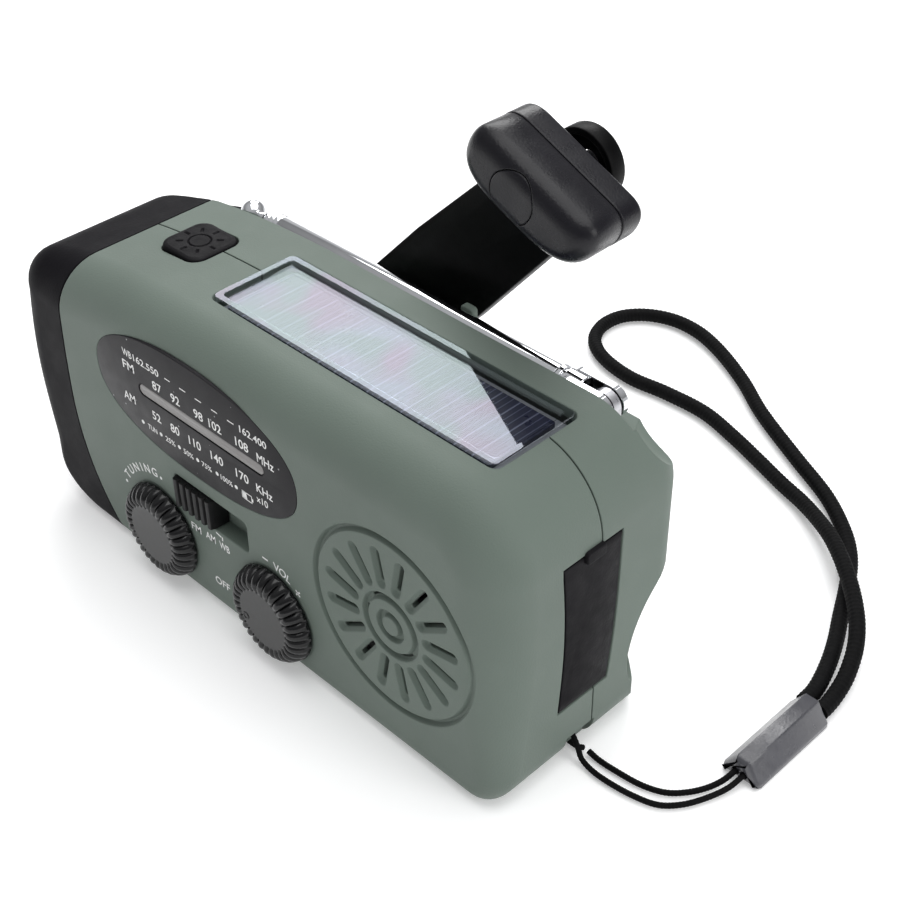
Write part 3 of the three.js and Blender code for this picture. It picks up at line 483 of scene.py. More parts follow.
# ---- strap -----------------------------------------------------------------------------------
STRAP_LOOP = [
    (88.3, 32.9, 1.75), (88.3, 34.2, 1.75), (88, 37.5, 1.9), (87.3, 41.5, 2.5), (86.1, 45.2, 3.2),
    (84.6, 48.6, 4), (82.2, 52.4, 4.8), (78.8, 56.6, 5.1), (74.7, 60.9, 5.1), (70.2, 65, 5.1),
    (65.2, 69.1, 4.6), (59.9, 72.9, 3.4), (53.6, 76.6, 2.1), (47.2, 78.9, 1.7), (39.3, 81.7, 1.7),
    (31, 84.5, 1.7), (21, 87.1, 1.7), (10.8, 87, 1.7), (1, 86, 1.7), (-8.8, 88.1, 1.7),
    (-14.2, 92, 1.7), (-16.5, 97.7, 1.7), (-15.7, 103.4, 1.7), (-11.9, 107.9, 1.7), (-6, 110.5, 1.7),
    (0.8, 110.5, 1.7), (8.4, 108.1, 1.7), (19.6, 102.3, 1.7), (29.8, 95.5, 1.7), (44, 87.9, 1.7),
    (55.7, 81.9, 1.7), (61.6, 77.7, 1.7), (66.6, 73.2, 1.7), (70.4, 68.4, 1.7), (74, 61.9, 1.7),
    (77.3, 55.2, 1.7), (80.5, 48.8, 1.7), (83, 42.6, 1.7), (84.7, 36.5, 1.7), (84.9, 32.9, 1.75),
]
STRAP_THREAD_A = [
    (64.3, -1.2, 1.3), (63.3, -1.2, 0.75), (61.4, -1.3, 0.75), (59.6, -1.5, 1.5), (59.1, -1.7, 2.9),
    (59.9, -1.9, 4.3), (61.5, -2.1, 4.7), (63.1, -2.4, 4.1), (64.6, -2.8, 2.5), (65.6, -3.1, 1.2),
    (67.5, -3.4, 0.7), (70.5, -3.6, 0.7), (76.5, -2.9, 0.7), (80.9, -1.4, 0.7), (83.6, 1.4, 0.7),
    (85.6, 5.4, 0.7), (87, 9, 1.2), (87.4, 12.1, 1.7), (87.4, 15.2, 1.7),
]
STRAP_THREAD_B = [
    (65.4, -1, 1.1), (67.5, -1, 0.7), (70.5, -0.9, 0.7), (76.5, -0.1, 0.7), (80.2, 1.5, 0.7),
    (82.6, 4, 0.7), (84.3, 7, 0.7), (85.4, 9.6, 1.2), (85.8, 12.1, 1.7), (85.8, 15.2, 1.7),
]


def spline(points, step):
    """Points of a centripetal Catmull-Rom curve, evenly spaced by about step."""
    p = np.array(points, float)
    p = np.vstack([2 * p[0] - p[1], p, 2 * p[-1] - p[-2]])
    out = []
    for i in range(1, len(p) - 2):
        knots = [0.0]
        for a, b in ((i - 1, i), (i, i + 1), (i + 1, i + 2)):
            knots.append(knots[-1] + math.sqrt(np.linalg.norm(p[b] - p[a])))
        t0, t1, t2, t3 = knots
        for t in np.linspace(t1, t2, 24, endpoint=False):
            a1 = (t1 - t) / (t1 - t0) * p[i - 1] + (t - t0) / (t1 - t0) * p[i]
            a2 = (t2 - t) / (t2 - t1) * p[i] + (t - t1) / (t2 - t1) * p[i + 1]
            a3 = (t3 - t) / (t3 - t2) * p[i + 1] + (t - t2) / (t3 - t2) * p[i + 2]
            b1 = (t2 - t) / (t2 - t0) * a1 + (t - t0) / (t2 - t0) * a2
            b2 = (t3 - t) / (t3 - t1) * a2 + (t - t1) / (t3 - t1) * a3
            out.append((t2 - t) / (t2 - t1) * b1 + (t - t1) / (t2 - t1) * b2)
    out.append(p[-2])
    out = np.array(out)
    run = np.concatenate([[0], np.cumsum(np.linalg.norm(np.diff(out, axis=0), axis=1))])
    even = np.linspace(0, run[-1], max(2, int(run[-1] / step) + 1))
    return np.stack([np.interp(even, run, out[:, k]) for k in range(3)], 1), run[-1]


def braided_tube(points, radius, step, sides, relief, lay):
    """A tube whose surface carries crossing strands: relief is their height, lay their pitch."""
    line, length = spline(points, step)
    tangent = np.gradient(line, axis=0)
    tangent /= np.linalg.norm(tangent, axis=1)[:, None]
    side = np.cross(tangent[0], (0, 0, 1.0))
    side /= np.linalg.norm(side)
    rings = []
    for k, (centre, along) in enumerate(zip(line, tangent)):
        side = side - along * (side @ along)
        side /= np.linalg.norm(side)
        other = np.cross(along, side)
        phase = 2 * math.pi * k * step / lay
        ring = []
        for i in range(sides):
            a = 2 * math.pi * i / sides
            weave = math.sin(sides / 4 * a + phase) * math.sin(sides / 4 * a - phase)
            r = radius - relief + relief * weave
            ring.append(tuple(centre + r * (math.cos(a) * side + math.sin(a) * other)))
        rings.append(ring)
    return rings_solid(rings), line, length


def make_strap(look):
    section = [(82.8, 0), (90.4, 0), (90.4, 0.9), (87.9, 4.6), (85.3, 4.6), (82.8, 0.9)]
    section = resampled(section, 90)
    lock = make_object("lock", *loft(section, "y", [
        (12.4, -1.0), (12.6, -0.6), (13.0, -0.25), (13.6, 0), (32.2, 0), (32.5, -0.12), (32.6, -0.3)]))
    boolean(lock, [loft(circle(x, 1.7, 0.75, 20), "y", [(11, 0), (14, 0)]) for x in (87.4, 85.8)])
    lock = finish(lock, "cord_lock", "housing", look["lock"], ["strap_lock"], "satin_black", 30)
    pieces = []
    for name, node, route, radius, step, sides, relief, lay in (
        ("strap_thread_a", "strap_thread_1", STRAP_THREAD_A, 0.55, 0.15, 12, 0.05, 1.2),
        ("strap_thread_b", "strap_thread_2", STRAP_THREAD_B, 0.55, 0.15, 12, 0.05, 1.2),
        ("strap_cord", "strap_loop", STRAP_LOOP, 1.6, 0.28, 24, 0.11, 1.9),
    ):
        solid, line, length = braided_tube(route, radius, step, sides, relief, lay)
        obj = piece(name, solid, "housing", look["cord"], [node], "cord", 60)
        pieces.append((obj, route, line, length, radius))
    for obj, route, line, length, radius in pieces:
        [c * 0.001 for c in route[0]]
        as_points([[c * 0.001 for c in p] for p in line[::3]] + [[c * 0.001 for c in line[-1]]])


# ---- housing ---------------------------------------------------------------------------------
def quadratic(a, b, c, n):
    return [tuple((1 - t) ** 2 * np.array(a) + 2 * t * (1 - t) * np.array(b) + t * t * np.array(c))
            for t in np.linspace(0, 1, n, endpoint=False)]


def arc(cx, cz, r, start, end, n):
    return [(cx + r * math.cos(math.radians(a)), cz + r * math.sin(math.radians(a)))
            for a in np.linspace(start, end, n, endpoint=False)]


def straight(a, b, n):
    return [tuple(np.array(a) + (np.array(b) - np.array(a)) * t)
            for t in np.linspace(0, 1, n, endpoint=False)]


def silhouette(fine):
    k = 1 if fine else 3
    return (
        straight((-46, 0), (57.5, 0), 36 // k)
        + arc(57.5, 6.5, 6.5, -90, 0, 12 // k)
        + straight((64, 6.5), (64, 46), 14 // k)
        + arc(50, 46, 14, 0, 90, 24 // k)
        + straight((50, 60), (-12, 60), 22 // k)
        + quadratic((-12, 60), (-34, 59.5), (-49, 56.5), 18 // k)
        + straight((-49, 56.5), (-54, 55.8), 6 // k)
        + quadratic((-54, 55.8), (-60.6, 54.9), (-61.8, 48), 18 // k)
        + quadratic((-61.8, 48), (-66, 29), (-61.4, 12), 18 // k)
        + quadratic((-61.4, 12), (-58, 0.4), (-46, 0), 24 // k)
    )


def housing_form(inset, fine=True):
    """The closed outer form of the housing, and its exact normals, one for each vertex."""
    outline = np.array(silhouette(fine), float)
    normal = outward(outline)
    n = len(outline)
    turn = np.arccos(np.clip((normal * np.roll(normal, -1, 0)).sum(1), -1, 1))
    step = np.linalg.norm(np.roll(outline, -1, 0) - outline, axis=1)
    bend = step / np.maximum(turn, 1e-6)
    reach = 5 if fine else 2
    room = np.array([min(bend[(i + d) % n] for d in range(-reach, reach + 1)) for i in range(n)])
    t = np.clip(outline[:, 1] / 14, 0, 1)
    rise = t * t * (3 - 2 * t)
    end = np.clip((-46 - outline[:, 0]) / 14, 0, 1)
    end = end * end * (3 - 2 * end)
    rows, normals = [], []
    count = 10 if fine else 4
    for edge, face, sign in (((3, 9), FRONT, 1), ((3, 6), BACK, -1)):
        wide = (edge[0] + (edge[1] - edge[0]) * rise) * (1 - end) + np.minimum(edge[1], 8) * rise * end
        radius = np.minimum(np.maximum(wide, edge[0]), np.maximum(room * 0.92, 2.6))
        for _ in range(12 if fine else 2):
            radius = (np.roll(radius, 1) + radius + np.roll(radius, -1)) / 3
        radius = radius - inset
        side_rows = []
        for a in np.linspace(0, math.pi / 2, count):
            inwards = inset + radius * (1 - math.sin(a))
            y = face + sign * (inset + radius * (1 - math.cos(a)))
            p = outline - normal * inwards[:, None]
            side_rows.append((
                np.stack([p[:, 0], y, p[:, 1]], 1),
                np.stack([normal[:, 0] * math.sin(a), np.full(n, -sign * math.cos(a)),
                          normal[:, 1] * math.sin(a)], 1),
            ))
        ordered = side_rows if sign > 0 else side_rows[::-1]
        rows += [r[0] for r in ordered]
        normals += [r[1] for r in ordered]
    verts, faces = rings_solid(rows)
    return verts, faces, np.concatenate(normals)


def hollows(grow):
    """Cutters of what is hollowed out of the housing from outside."""
    rebate = box_solid(-70 - grow, 58.5 + grow, 13.8 - grow, BACK + CUT, 52.3 - grow, HEIGHT + CUT)
    ball = lathe([(0, 24.5 - 10.5 - grow)]
                 + [((10.5 + grow) * math.sin(a), 24.5 - (10.5 + grow) * math.cos(a))
                    for a in np.linspace(0, math.pi, 25)[1:-1]]
                 + [(0, 24.5 + 10.5 + grow)], "y", (61.5, 58.5), 48)
    profile = (
        [(BACK + CUT, 8.5 - grow), (BACK + CUT, 33 + grow)]
        + straight((BACK + CUT, 33 + grow), (BACK - 1, 31 + grow), 4)[1:]
        + quadratic((BACK - 1, 31 + grow), (11 - grow, 25 + grow), (9.6 - grow, 15), 20)
        + quadratic((9.6 - grow, 15), (9.4 - grow, 6 - grow), (15, 6 - grow), 14)
        + [(15, 6 - grow)]
    )
    scoop = rings_solid([place(profile, "x", x) for x in (43 - grow, RIGHT + CUT)])
    strap = box_solid(57.5 - grow, RIGHT + CUT, -5.2 - grow, 1.6 + grow, -CUT, 6.2 + grow)
    plan = ([(RIGHT + CUT, 10.5 - grow)] + quadratic((64, 11.2 - grow), (61.6 - grow, 15.6 - grow), (48 - grow, 24), 14)
            + [(48 - grow, BACK + CUT), (RIGHT + CUT, BACK + CUT)])
    foot = rings_solid([place(plan, "z", z) for z in (-CUT, 9)])
    slope = [(-80, 41.65 - 1.05 * grow), (-44.5, 52.3 - 1.05 * grow), (-44.5, 70), (-80, 70)]
    shoulder = rings_solid([place(slope, "y", y) for y in (13.8 - grow, BACK + CUT)])
    turn = ([(-70 - grow, 25), (-70 - grow, 3 - grow)]
            + quadratic((-62.5, 3 - grow), (-59 + grow, 12 - grow), (-44, 13.8 - grow), 12)
            + [(-44, 13.8 - grow), (-44, 25)])
    corner = rings_solid([place(turn, "z", z) for z in (52.3 - grow, HEIGHT + CUT)])
    return [rebate, shoulder, corner, ball, scoop, foot, strap]


def torch_region(shift):
    edge = (
        [(-80, -CUT), (-37.5 + shift, -CUT)]
        + quadratic((-37.5 + shift, 1.5), (-47.8 + shift, 13), (-47.4 + shift, 31), 20)
        + quadratic((-47.4 + shift, 31), (-47.2 + shift, 46), (-44.5 + shift, HEIGHT + CUT), 16)
        + [(-44.5 + shift, HEIGHT + CUT), (-80, HEIGHT + CUT)]
    )
    return rings_solid([place(edge, "y", y) for y in (FRONT - CUT, BACK + CUT)])


def groove_ring(x, z, inner, outer, depth, soft):
    """A turned groove with sloping sides, sunk into the front."""
    profile = [(inner - soft, FRONT - CUT), (inner - soft, FRONT), (inner, FRONT + depth),
               (outer, FRONT + depth), (outer + soft, FRONT), (outer + soft, FRONT - CUT)]
    verts, faces = [], []
    n = 96
    for r, y in profile:
        verts += place(circle(x, z, r, n), "y", y)
    m = len(profile)
    for k in range(m):
        a, b = k * n, ((k + 1) % m) * n
        faces += [(a + i, a + (i + 1) % n, b + (i + 1) % n, b + i) for i in range(n)]
    return verts, faces


def stadium(length, radius, n=8):
    return (
        [(length / 2 + radius * math.cos(a), radius * math.sin(a))
         for a in np.linspace(-math.pi / 2, math.pi / 2, n)]
        + [(-length / 2 - radius * math.cos(a), -radius * math.sin(a))
           for a in np.linspace(-math.pi / 2, math.pi / 2, n)]
    )


def arc_slot(radius, half_width, centre, spread, n=14):
    """An outline that follows an arc about the speaker's middle."""
    angles = np.linspace(centre - spread, centre + spread, n)
    outer = [((radius + half_width) * math.cos(a), (radius + half_width) * math.sin(a)) for a in angles]
    inner = [((radius - half_width) * math.cos(a), (radius - half_width) * math.sin(a))
             for a in angles[::-1]]
    return [(SPEAKER[0] + u, SPEAKER[1] + w) for u, w in outer + inner]


def grille():
    x, z = SPEAKER
    cuts = [
        groove_ring(x, z, 17.7, 18.2, 0.85, 0.45),
        groove_ring(x, z, 5.4, 6.2, 0.8, 0.35),
        groove_ring(x, z, 2.1, 2.9, 0.8, 0.3),
    ]
    for i in range(16):
        turn = Matrix.Rotation(-(i + 0.5) * math.pi / 8, 4, "Y")
        spot = Matrix.Translation((x, 0, z)) @ turn @ Matrix.Translation((11.5, 0, 0))
        wide = loft(stadium(6.0, 0.85), "y", [(FRONT - CUT, 0.25), (FRONT, 0.25), (FRONT + 0.5, -0.15),
                                              (FRONT + 0.75, -0.5)])
        deep = loft(stadium(5.0, 0.42), "y", [(FRONT - CUT, 0), (FRONT + CUT, 0)])
        cuts += [moved(wide, spot), moved(deep, spot)]
    for radius, places in ((5.8, (20, 110, 200, 290)), (2.5, (65, 245))):
        for degrees in places:
            shape = arc_slot(radius, 0.22, math.radians(degrees), 0.5)
            cuts.append(loft(shape, "y", [(FRONT - CUT, 0), (FRONT + CUT, 0)]))
    return cuts


def lipped(points, axis, face, inside, lip, out):
    """A cutter through a face, with its edge eased by lip. inside is how deep it goes."""
    sign = 1 if out < face else -1
    return loft(points, axis, [(out, lip), (face, lip), (face + sign * lip * 0.3, lip * 0.3),
                               (face + sign * lip, 0), (inside, 0)])


def make_housing(look):
    verts, faces, normals = housing_form(0)
    skin = make_object("skin", verts, faces)
    shell = make_object("shell", verts, faces)
    cavity = make_object("cavity", *housing_form(WALL, False)[:2])
    boolean(cavity, hollows(WALL))
    boolean(shell, hollows(0))
    inner = ([tuple(v.co) for v in cavity.data.vertices], [tuple(p.vertices) for p in cavity.data.polygons])
    boolean(shell, [inner])
    drop(cavity)
    boolean(shell, [box_solid(57, RIGHT - 1.5, PORT[0] - 1.6, PORT[1] + 1.6, PORT[2] - 1.6, PORT[3] + 1.6)],
            "UNION")

    top = [
        lipped(rounded_rect(SOLAR[0], SOLAR[1], SOLAR[2], SOLAR[3], 1.6), "z", HEIGHT, 50, 0.35, HEIGHT + CUT),
        loft(light_outline(0.35), "z", [(50, 0), (HEIGHT + CUT, 0)]),
    ]
    port = rounded_port(0.0)
    ports = [
        lipped(port, "x", RIGHT, RIGHT - 1.8, 0.2, RIGHT + CUT),
        box_solid(50, RIGHT + CUT, -3.85, 2.05, 15.85, 29.15),
        box_solid(54, RIGHT + CUT, -2.55, 0.75, 33.85, 42.15),
    ]
    screws = [loft(circle(x, z, r, 32), "y", [(y, 0), (BACK + CUT, 0)])
              for x, z in SCREWS for r, y in ((1.7, -14), (2.9, BACK - 2.6))]
    both = top + ports

    front = copy_of(shell, "front")
    boolean(front, [box_solid(-80, 80, -50, SEAM_Y - GAP / 2, -10, 80)], "INTERSECT")
    boolean(front, [
        box_solid(BAND[0] - 1, BAND[1] + 1, FRONT + 1, FRONT + BAND[4] + 1, BAND[2] - 1, BAND[3] + 1),
        loft(circle(61.2, 2.7, 1.0, 24), "y", [(-6.2, 0), (SEAM_Y - GAP / 2, 0)]),
    ], "UNION")
    band = rounded_rect(BAND[0], BAND[1], BAND[2], BAND[3], 0.9, 6)
    boolean(front, [torch_region(GAP / 2)] + both + grille() + [
        lipped(superellipse(), "y", FRONT, FRONT + 1.2, 0.18, FRONT - CUT),
        loft(rounded_rect(SLOT[0] - 0.8, SLOT[1] + 0.8, SLOT[2] - 2, SLOT[2] + 2, 1.9), "y",
             [(FRONT, 0), (FRONT + 3, 0)]),
        loft(circle(*TUNING, 3.3, 32), "y", [(FRONT - CUT, 0), (FRONT + CUT, 0)]),
        loft(circle(*VOLUME, 3.3, 32), "y", [(FRONT - CUT, 0), (FRONT + CUT, 0)]),
        lipped(band, "y", FRONT, FRONT + BAND[4], 0.3, FRONT - CUT),
        box_solid(BAND[0] + 3.6, BAND[1] - 3.6, FRONT, FRONT + CUT, 23, 25.2),
    ])
    back = copy_of(shell, "back")
    boolean(back, [box_solid(-80, 80, SEAM_Y + GAP / 2, 50, -10, 80)], "INTERSECT")
    clip = loft(rounded_rect(14.5, 17.5, 51.3, 57.5, 0.8), "y", [(20.3, -0.2), (20.5, 0), (21.5, 0), (21.7, -0.2)])
    bosses = [loft(circle(x, z, 4, 32), "y", [(SEAM_Y + GAP, 0), (BACK - 1, 0)]) for x, z in SCREWS]
    boolean(back, [clip] + bosses, "UNION")
    boolean(back, [torch_region(GAP / 2)] + both + screws + [
        box_solid(46, 54, 15.8, 18.6, 40, HEIGHT),
        loft(circle(*HUB, 3.3, 32), "y", [(BACK - CUT, 0), (BACK + CUT, 0)]),
    ])
    bezel = copy_of(shell, "bezel")
    boolean(bezel, [torch_region(-GAP / 2)], "INTERSECT")
    window = rounded_rect(-11, 11, 13, 47, 8, 12)
    boolean(bezel, [
        loft(window, "x", [(-80, 0.8), (-61.2, 0.8), (-60.6, 0), (-50, 0)]),
    ])

    tree = BVHTree.FromPolygons([Vector(v) for v in verts], [tuple(f) for f in faces])
    triangles = skin_normals(faces, verts, normals, tree)
    for obj, name, node, surface, slot in (
        (front, "front_case", "front_shell", "green", "green_shell"),
        (back, "back_case", "back_shell", "green", "green_shell"),
        (bezel, "torch_ring", "torch_bezel", "bezel", "black_rubber"),
    ):
        shade(obj.data, 32)
        smooth_skin(obj.data, triangles)
        finish(obj, name, "housing", look[surface], [node], slot, 0)
    drop(skin)
    drop(shell)


def copy_of(obj, name):
    made = obj.copy()
    made.data = obj.data.copy()
    made.name = name
    bpy.context.scene.collection.objects.link(made)
    return made


def skin_normals(faces, verts, normals, tree):
    """A function from a point to the skin's exact normal there, or None away from the skin."""

    def lookup(point):
        hit, _, index, distance = tree.find_nearest(point, 0.05)
        if hit is None or distance > 0.03:
            return None
        face = faces[index]
        if len(face) > 4:
            return Vector(normals[face[0]])
        best = None
        for a, b, c in ((0, 1, 2), (0, 2, 3)):
            corner = [Vector(verts[face[k]]) for k in (a, b, c)]
            if (corner[1] - corner[0]).cross(corner[2] - corner[0]).length < 1e-9:
                continue
            unit = [Vector((1, 0, 0)), Vector((0, 1, 0)), Vector((0, 0, 1))]
            weight = barycentric_transform(hit, *corner, *unit)
            if best is None or min(weight) > min(best[0]):
                best = (weight, (a, b, c))
        if best is None:
            return Vector(normals[face[0]])
        weight, corners = best
        blend = Vector((0, 0, 0))
        for w, k in zip(weight, corners):
            blend += max(w, 0) * Vector(normals[face[k]])
        return blend.normalized()

    return lookup


def smooth_skin(mesh, lookup):
    """Gives the faces that lie on the housing's skin its exact normals."""
    normals = [Vector(c.vector) for c in mesh.corner_normals]
    known = {}
    for face in mesh.polygons:
        middle = lookup(face.center)
        if middle is None or middle.dot(face.normal) < 0.9:
            continue
        for loop in face.loop_indices:
            vertex = mesh.loops[loop].vertex_index
            if vertex not in known:
                known[vertex] = lookup(mesh.vertices[vertex].co)
            if known[vertex] is not None and known[vertex].dot(face.normal) > 0.8:
                normals[loop] = known[vertex]
    mesh.normals_split_custom_set(normals)


def light_outline(grow):
    x, y, size, corner = LIGHT
    half = size / 2 + grow
    return rounded_rect(x - half, x + half, y - half, y + half, corner + grow, 10)


def rounded_port(grow):
    """The charging cover's outline in (y, z): its front side bows in and it narrows at the foot."""
    a = PORT[0] - grow, PORT[2] - grow
    b = PORT[1] + grow, PORT[3] + grow
    bow = 1.1
    side = [(b[0] - 1.9 * (1 - t) ** 3, a[1] + (b[1] - a[1]) * t) for t in np.linspace(0.03, 0.97, 18)]
    front = [(a[0] + bow * math.sin(math.pi * t), b[1] - (b[1] - a[1]) * t)
             for t in np.linspace(0.03, 0.97, 18)]
    return side + front


# ---- front -----------------------------------------------------------------------------------
def text_solid(text, height, bold=0.012):
    """Flat letters of a height, centred on their middle, facing -Y."""
    curve = bpy.data.curves.new("text", "FONT")
    curve.body, curve.offset, curve.size = text, bold, 1.0
    curve.resolution_u = 4
    holder = bpy.data.objects.new("text", curve)
    bpy.context.scene.collection.objects.link(holder)
    graph = bpy.context.evaluated_depsgraph_get()
    mesh = bpy.data.meshes.new_from_object(holder.evaluated_get(graph))
    points = np.array([v.co for v in mesh.vertices], float)
    faces = [tuple(p.vertices) for p in mesh.polygons]
    bpy.data.objects.remove(holder)
    bpy.data.curves.remove(curve)
    bpy.data.meshes.remove(mesh)
    low, high = points.min(0), points.max(0)
    scale = height / 0.73
    middle = ((low[0] + high[0]) / 2, 0.365)
    flat = [((x - middle[0]) * scale, (y - middle[1]) * scale) for x, y, _ in points]
    return flat, faces, (high[0] - low[0]) * scale


def printed(labels, surface):
    """Text laid on the plane y = surface, from (text, x, z, height, width or None, turn)."""
    verts, faces = [], []
    for text, x, z, height, width, turn in labels:
        flat, polygons, natural = text_solid(text, height)
        stretch = width / natural if width else 1.0
        c, s = math.cos(math.radians(turn)), math.sin(math.radians(turn))
        faces += [tuple(i + len(verts) for i in face) for face in polygons]
        for u, w in flat:
            u *= stretch
            verts.append((x + u * c - w * s, surface, z + u * s + w * c))
    return verts, faces


def bar(x, z, width, height, surface, turn=0.0):
    c, s = math.cos(math.radians(turn)), math.sin(math.radians(turn))
    corners = [(-width / 2, -height / 2), (width / 2, -height / 2), (width / 2, height / 2),
               (-width / 2, height / 2)]
    return [(x + u * c - w * s, surface, z + u * s + w * c) for u, w in corners], [(0, 1, 2, 3)]


def flat_piece(name, solid, body, material, slot):
    mesh = bpy.data.meshes.new(name)
    mesh.from_pydata([tuple(v) for v in solid[0]], [], solid[1])
    for polygon in mesh.polygons:
        if polygon.normal.y > 0:
            polygon.flip()
    obj = bpy.data.objects.new(name, mesh)
    bpy.context.scene.collection.objects.link(obj)
    return finish(obj, name, body, material, (), slot, 0)


def make_dial(look):
    panel = make_object("panel", *loft(superellipse(grow=-0.02), "y", [
        (FRONT + 1.05, 0), (FRONT + 0.16, 0), (FRONT + 0.04, -0.05), (FRONT, -0.18)]))
    x0, x1, z, height = SLOT
    slot_shape = rounded_rect(x0, x1, z - height / 2, z + height / 2, height / 2 - 0.01, 10)
    boolean(panel, [loft(slot_shape, "y", [(FRONT - 1, 0.1), (FRONT, 0.1), (FRONT + 0.12, 0), (FRONT + 3, 0)])])
    finish(panel, "dial_face", "housing", look["dial"], ["dial_panel"], "dial_grey", 30)
    piece("scale_strip", loft(slot_shape, "y", [(FRONT + 1, -0.15), (FRONT + 0.16, -0.15), (FRONT + 0.1, -0.25)]),
          "housing", look["window"], ["scale_window"], "scale_white")
    on = FRONT - 0.012
    labels = [
        ("WB", -25.6, 49.0, 1.55, 2.7, 0), ("162.550", -20.1, 49.0, 1.5, 7.3, 0),
        ("162.400", 8.9, 49.0, 1.5, 6.9, 0), ("FM", -25.8, 46.2, 1.9, 3.3, 0),
        ("AM", -27.0, 38.9, 1.9, 3.4, 0), ("MHz", 11.6, 45.3, 1.9, 4.3, 0),
        ("KHz", 10.5, 38.3, 1.8, 4.2, 0), ("x10", 9.6, 35.8, 1.5, 3.0, 0),
    ]
    labels += [(t, x, 45.7, 1.9, None, 0) for t, x in
               (("87", -17.6), ("92", -12.4), ("98", -6.0), ("102", -1.5), ("108", 5.6))]
    labels += [(t, x, 38.5, 1.9, None, 0) for t, x in
               (("52", -19.1), ("80", -13.8), ("110", -8.2), ("140", -2.1), ("170", 4.7))]
    labels += [(t, x, 34.85, 1.15, w, 0) for t, x, w in
               (("TUN", -21.0, 2.7), ("25%", -15.8, 2.8), ("50%", -10.6, 2.8), ("75%", -5.5, 2.8),
                ("100%", 0.0, 3.3))]
    marks = [bar((a + b) / 2, 49.0, b - a, 0.22, on) for a, b in
             ((-14.7, -13.2), (-10.6, -8.9), (-6.3, -4.6), (-1.9, -0.3), (2.3, 4.0))]
    marks += [(place(circle(x, 34.9, 0.42, 16), "y", on), [tuple(range(16))])
              for x in (-23.8, -18.5, -13.2, -8.0, -2.6, 2.6)]
    cell = [bar(5.4, 35.15, 2.7, 0.2, on), bar(5.4, 33.65, 2.7, 0.2, on), bar(4.15, 34.4, 0.2, 1.6, on),
            bar(6.7, 34.4, 0.2, 1.6, on), bar(6.95, 34.4, 0.3, 0.7, on), bar(4.75, 34.4, 1.2, 1.5, on, 8)]
    flat_piece("dial_print", joined(printed(labels, on), *marks, *cell), "housing", look["print"],
               "scale_white")

    arc_labels = []
    x, z = TUNING
    for letter, degrees in zip("TUNING", (147, 136, 124.5, 115, 106, 95)):
        a = math.radians(degrees)
        arc_labels.append((letter, x + 12.7 * math.cos(a), z + 12.7 * math.sin(a), 1.9, None, degrees - 90))
    x, z = VOLUME
    for letter, degrees in zip("VOL", (84, 75.5, 67)):
        a = math.radians(degrees)
        arc_labels.append((letter, x + 11.2 * math.cos(a), z + 11.2 * math.sin(a), 1.8, None, degrees - 84))
    arc_labels += [("FM", -11.5, 17.3, 1.7, 2.8, 0), ("AM", -7.3, 17.6, 1.7, 2.8, 0),
                   ("WB", -3.3, 17.6, 1.7, 2.9, 0), ("OFF", -5.4, 7.5, 1.75, 4.2, 0)]
    dots = [(place(circle(TUNING[0] + 12.3 * math.cos(math.radians(a)), TUNING[1] + 12.3 * math.sin(math.radians(a)),
                          0.35, 14), "y", on), [tuple(range(14))]) for a in (157, 86)]
    ticks = [bar(8.6, 22.3, 1.5, 0.35, on), bar(17.0, 19.6, 1.5, 0.35, on, 45), bar(17.0, 19.6, 1.5, 0.35, on, -45),
             bar(-4.6, 19.75, 1.5, 0.3, on, -12), bar(-3.6, 19.3, 0.3, 0.9, on)]
    flat_piece("case_print", joined(printed(arc_labels, on), *dots, *ticks), "housing", look["print"],
               "scale_white")


def knob(name, centre, body, look, replaced):
    """A ribbed skirt that rolls over to a flat disc. Thirty ribs, cut by narrow grooves."""
    face, base, ribs = FRONT - 3.4, FRONT - GAP, 30
    profile = [(0, face), (5.8, face), (5.9, face), (6.1, face), (6.35, face - 0.06), (6.8, face - 0.22),
               (7.4, face - 0.24), (8.0, face - 0.05), (8.6, face + 0.38), (9.1, face + 0.95),
               (9.5, face + 1.7), (9.72, face + 2.4), (9.8, base - 0.25), (9.7, base), (0, base)]
    depth = [0, 0, 0, 0.1, 0.5, 0.75, 0.8, 0.8, 0.8, 0.75, 0.6, 0.4, 0, 0, 0]

    def rib(k, a, r, t):
        cut = (1 - abs(math.sin(ribs / 2 * a)) ** 0.55) * depth[k]
        lean = min(1.0, max(0.0, (r - 6.2) / 3.4))
        return r - cut * lean, t + cut * (1 - lean)

    solid = lathe(profile, "y", centre, 360, rib)
    obj = make_object(name, *solid)
    for polygon in obj.data.polygons:
        middle = polygon.center
        inside = math.hypot(middle.x - centre[0], middle.z - centre[1]) < 6.15 and middle.y < face + 0.3
        polygon.material_index = 1 if inside else 0
    return finish(obj, name, body, [look["gloss"], look["disc"]], replaced, "gloss_black", 50)


def make_controls(look):
    knob("tuning_dial", TUNING, "tuning", look, ["tuning_knob"])
    knob("volume_dial", VOLUME, "volume", look, ["volume_knob"])
    x, z = VOLUME[0] - 4.7, VOLUME[1] - 1.9
    piece("volume_mark", lathe([(0, -25.36), (0.45, -25.36), (0.62, -25.52), (0.78, -25.5), (0.85, -25.36),
                                (0.85, -25.3), (0, -25.3)], "y", (x, z), 24),
          "volume", look["gloss"], (), "gloss_black")

    x0, y1, z0, z1 = BAND[0] + GAP, FRONT + BAND[4] - GAP, BAND[2] + GAP, BAND[3] - GAP
    pitch = 11 / 6
    profile = [(x0, y1)]
    for i in range(6):
        a = x0 + i * pitch
        profile += [(a + 0.12, FRONT - 0.05), (a + 0.42, FRONT - 0.9), (a + 0.7, FRONT - 1.0),
                    (a + pitch - 0.7, FRONT - 1.0), (a + pitch - 0.42, FRONT - 0.9),
                    (a + pitch - 0.12, FRONT - 0.05)]
    profile.append((x0 + 11, y1))
    slider = rings_solid([place(profile, "z", z) for z in (z0, z1)])
    piece("band_thumb", slider, "band", look["slider"], ["band_slider"], "satin_black", 40)


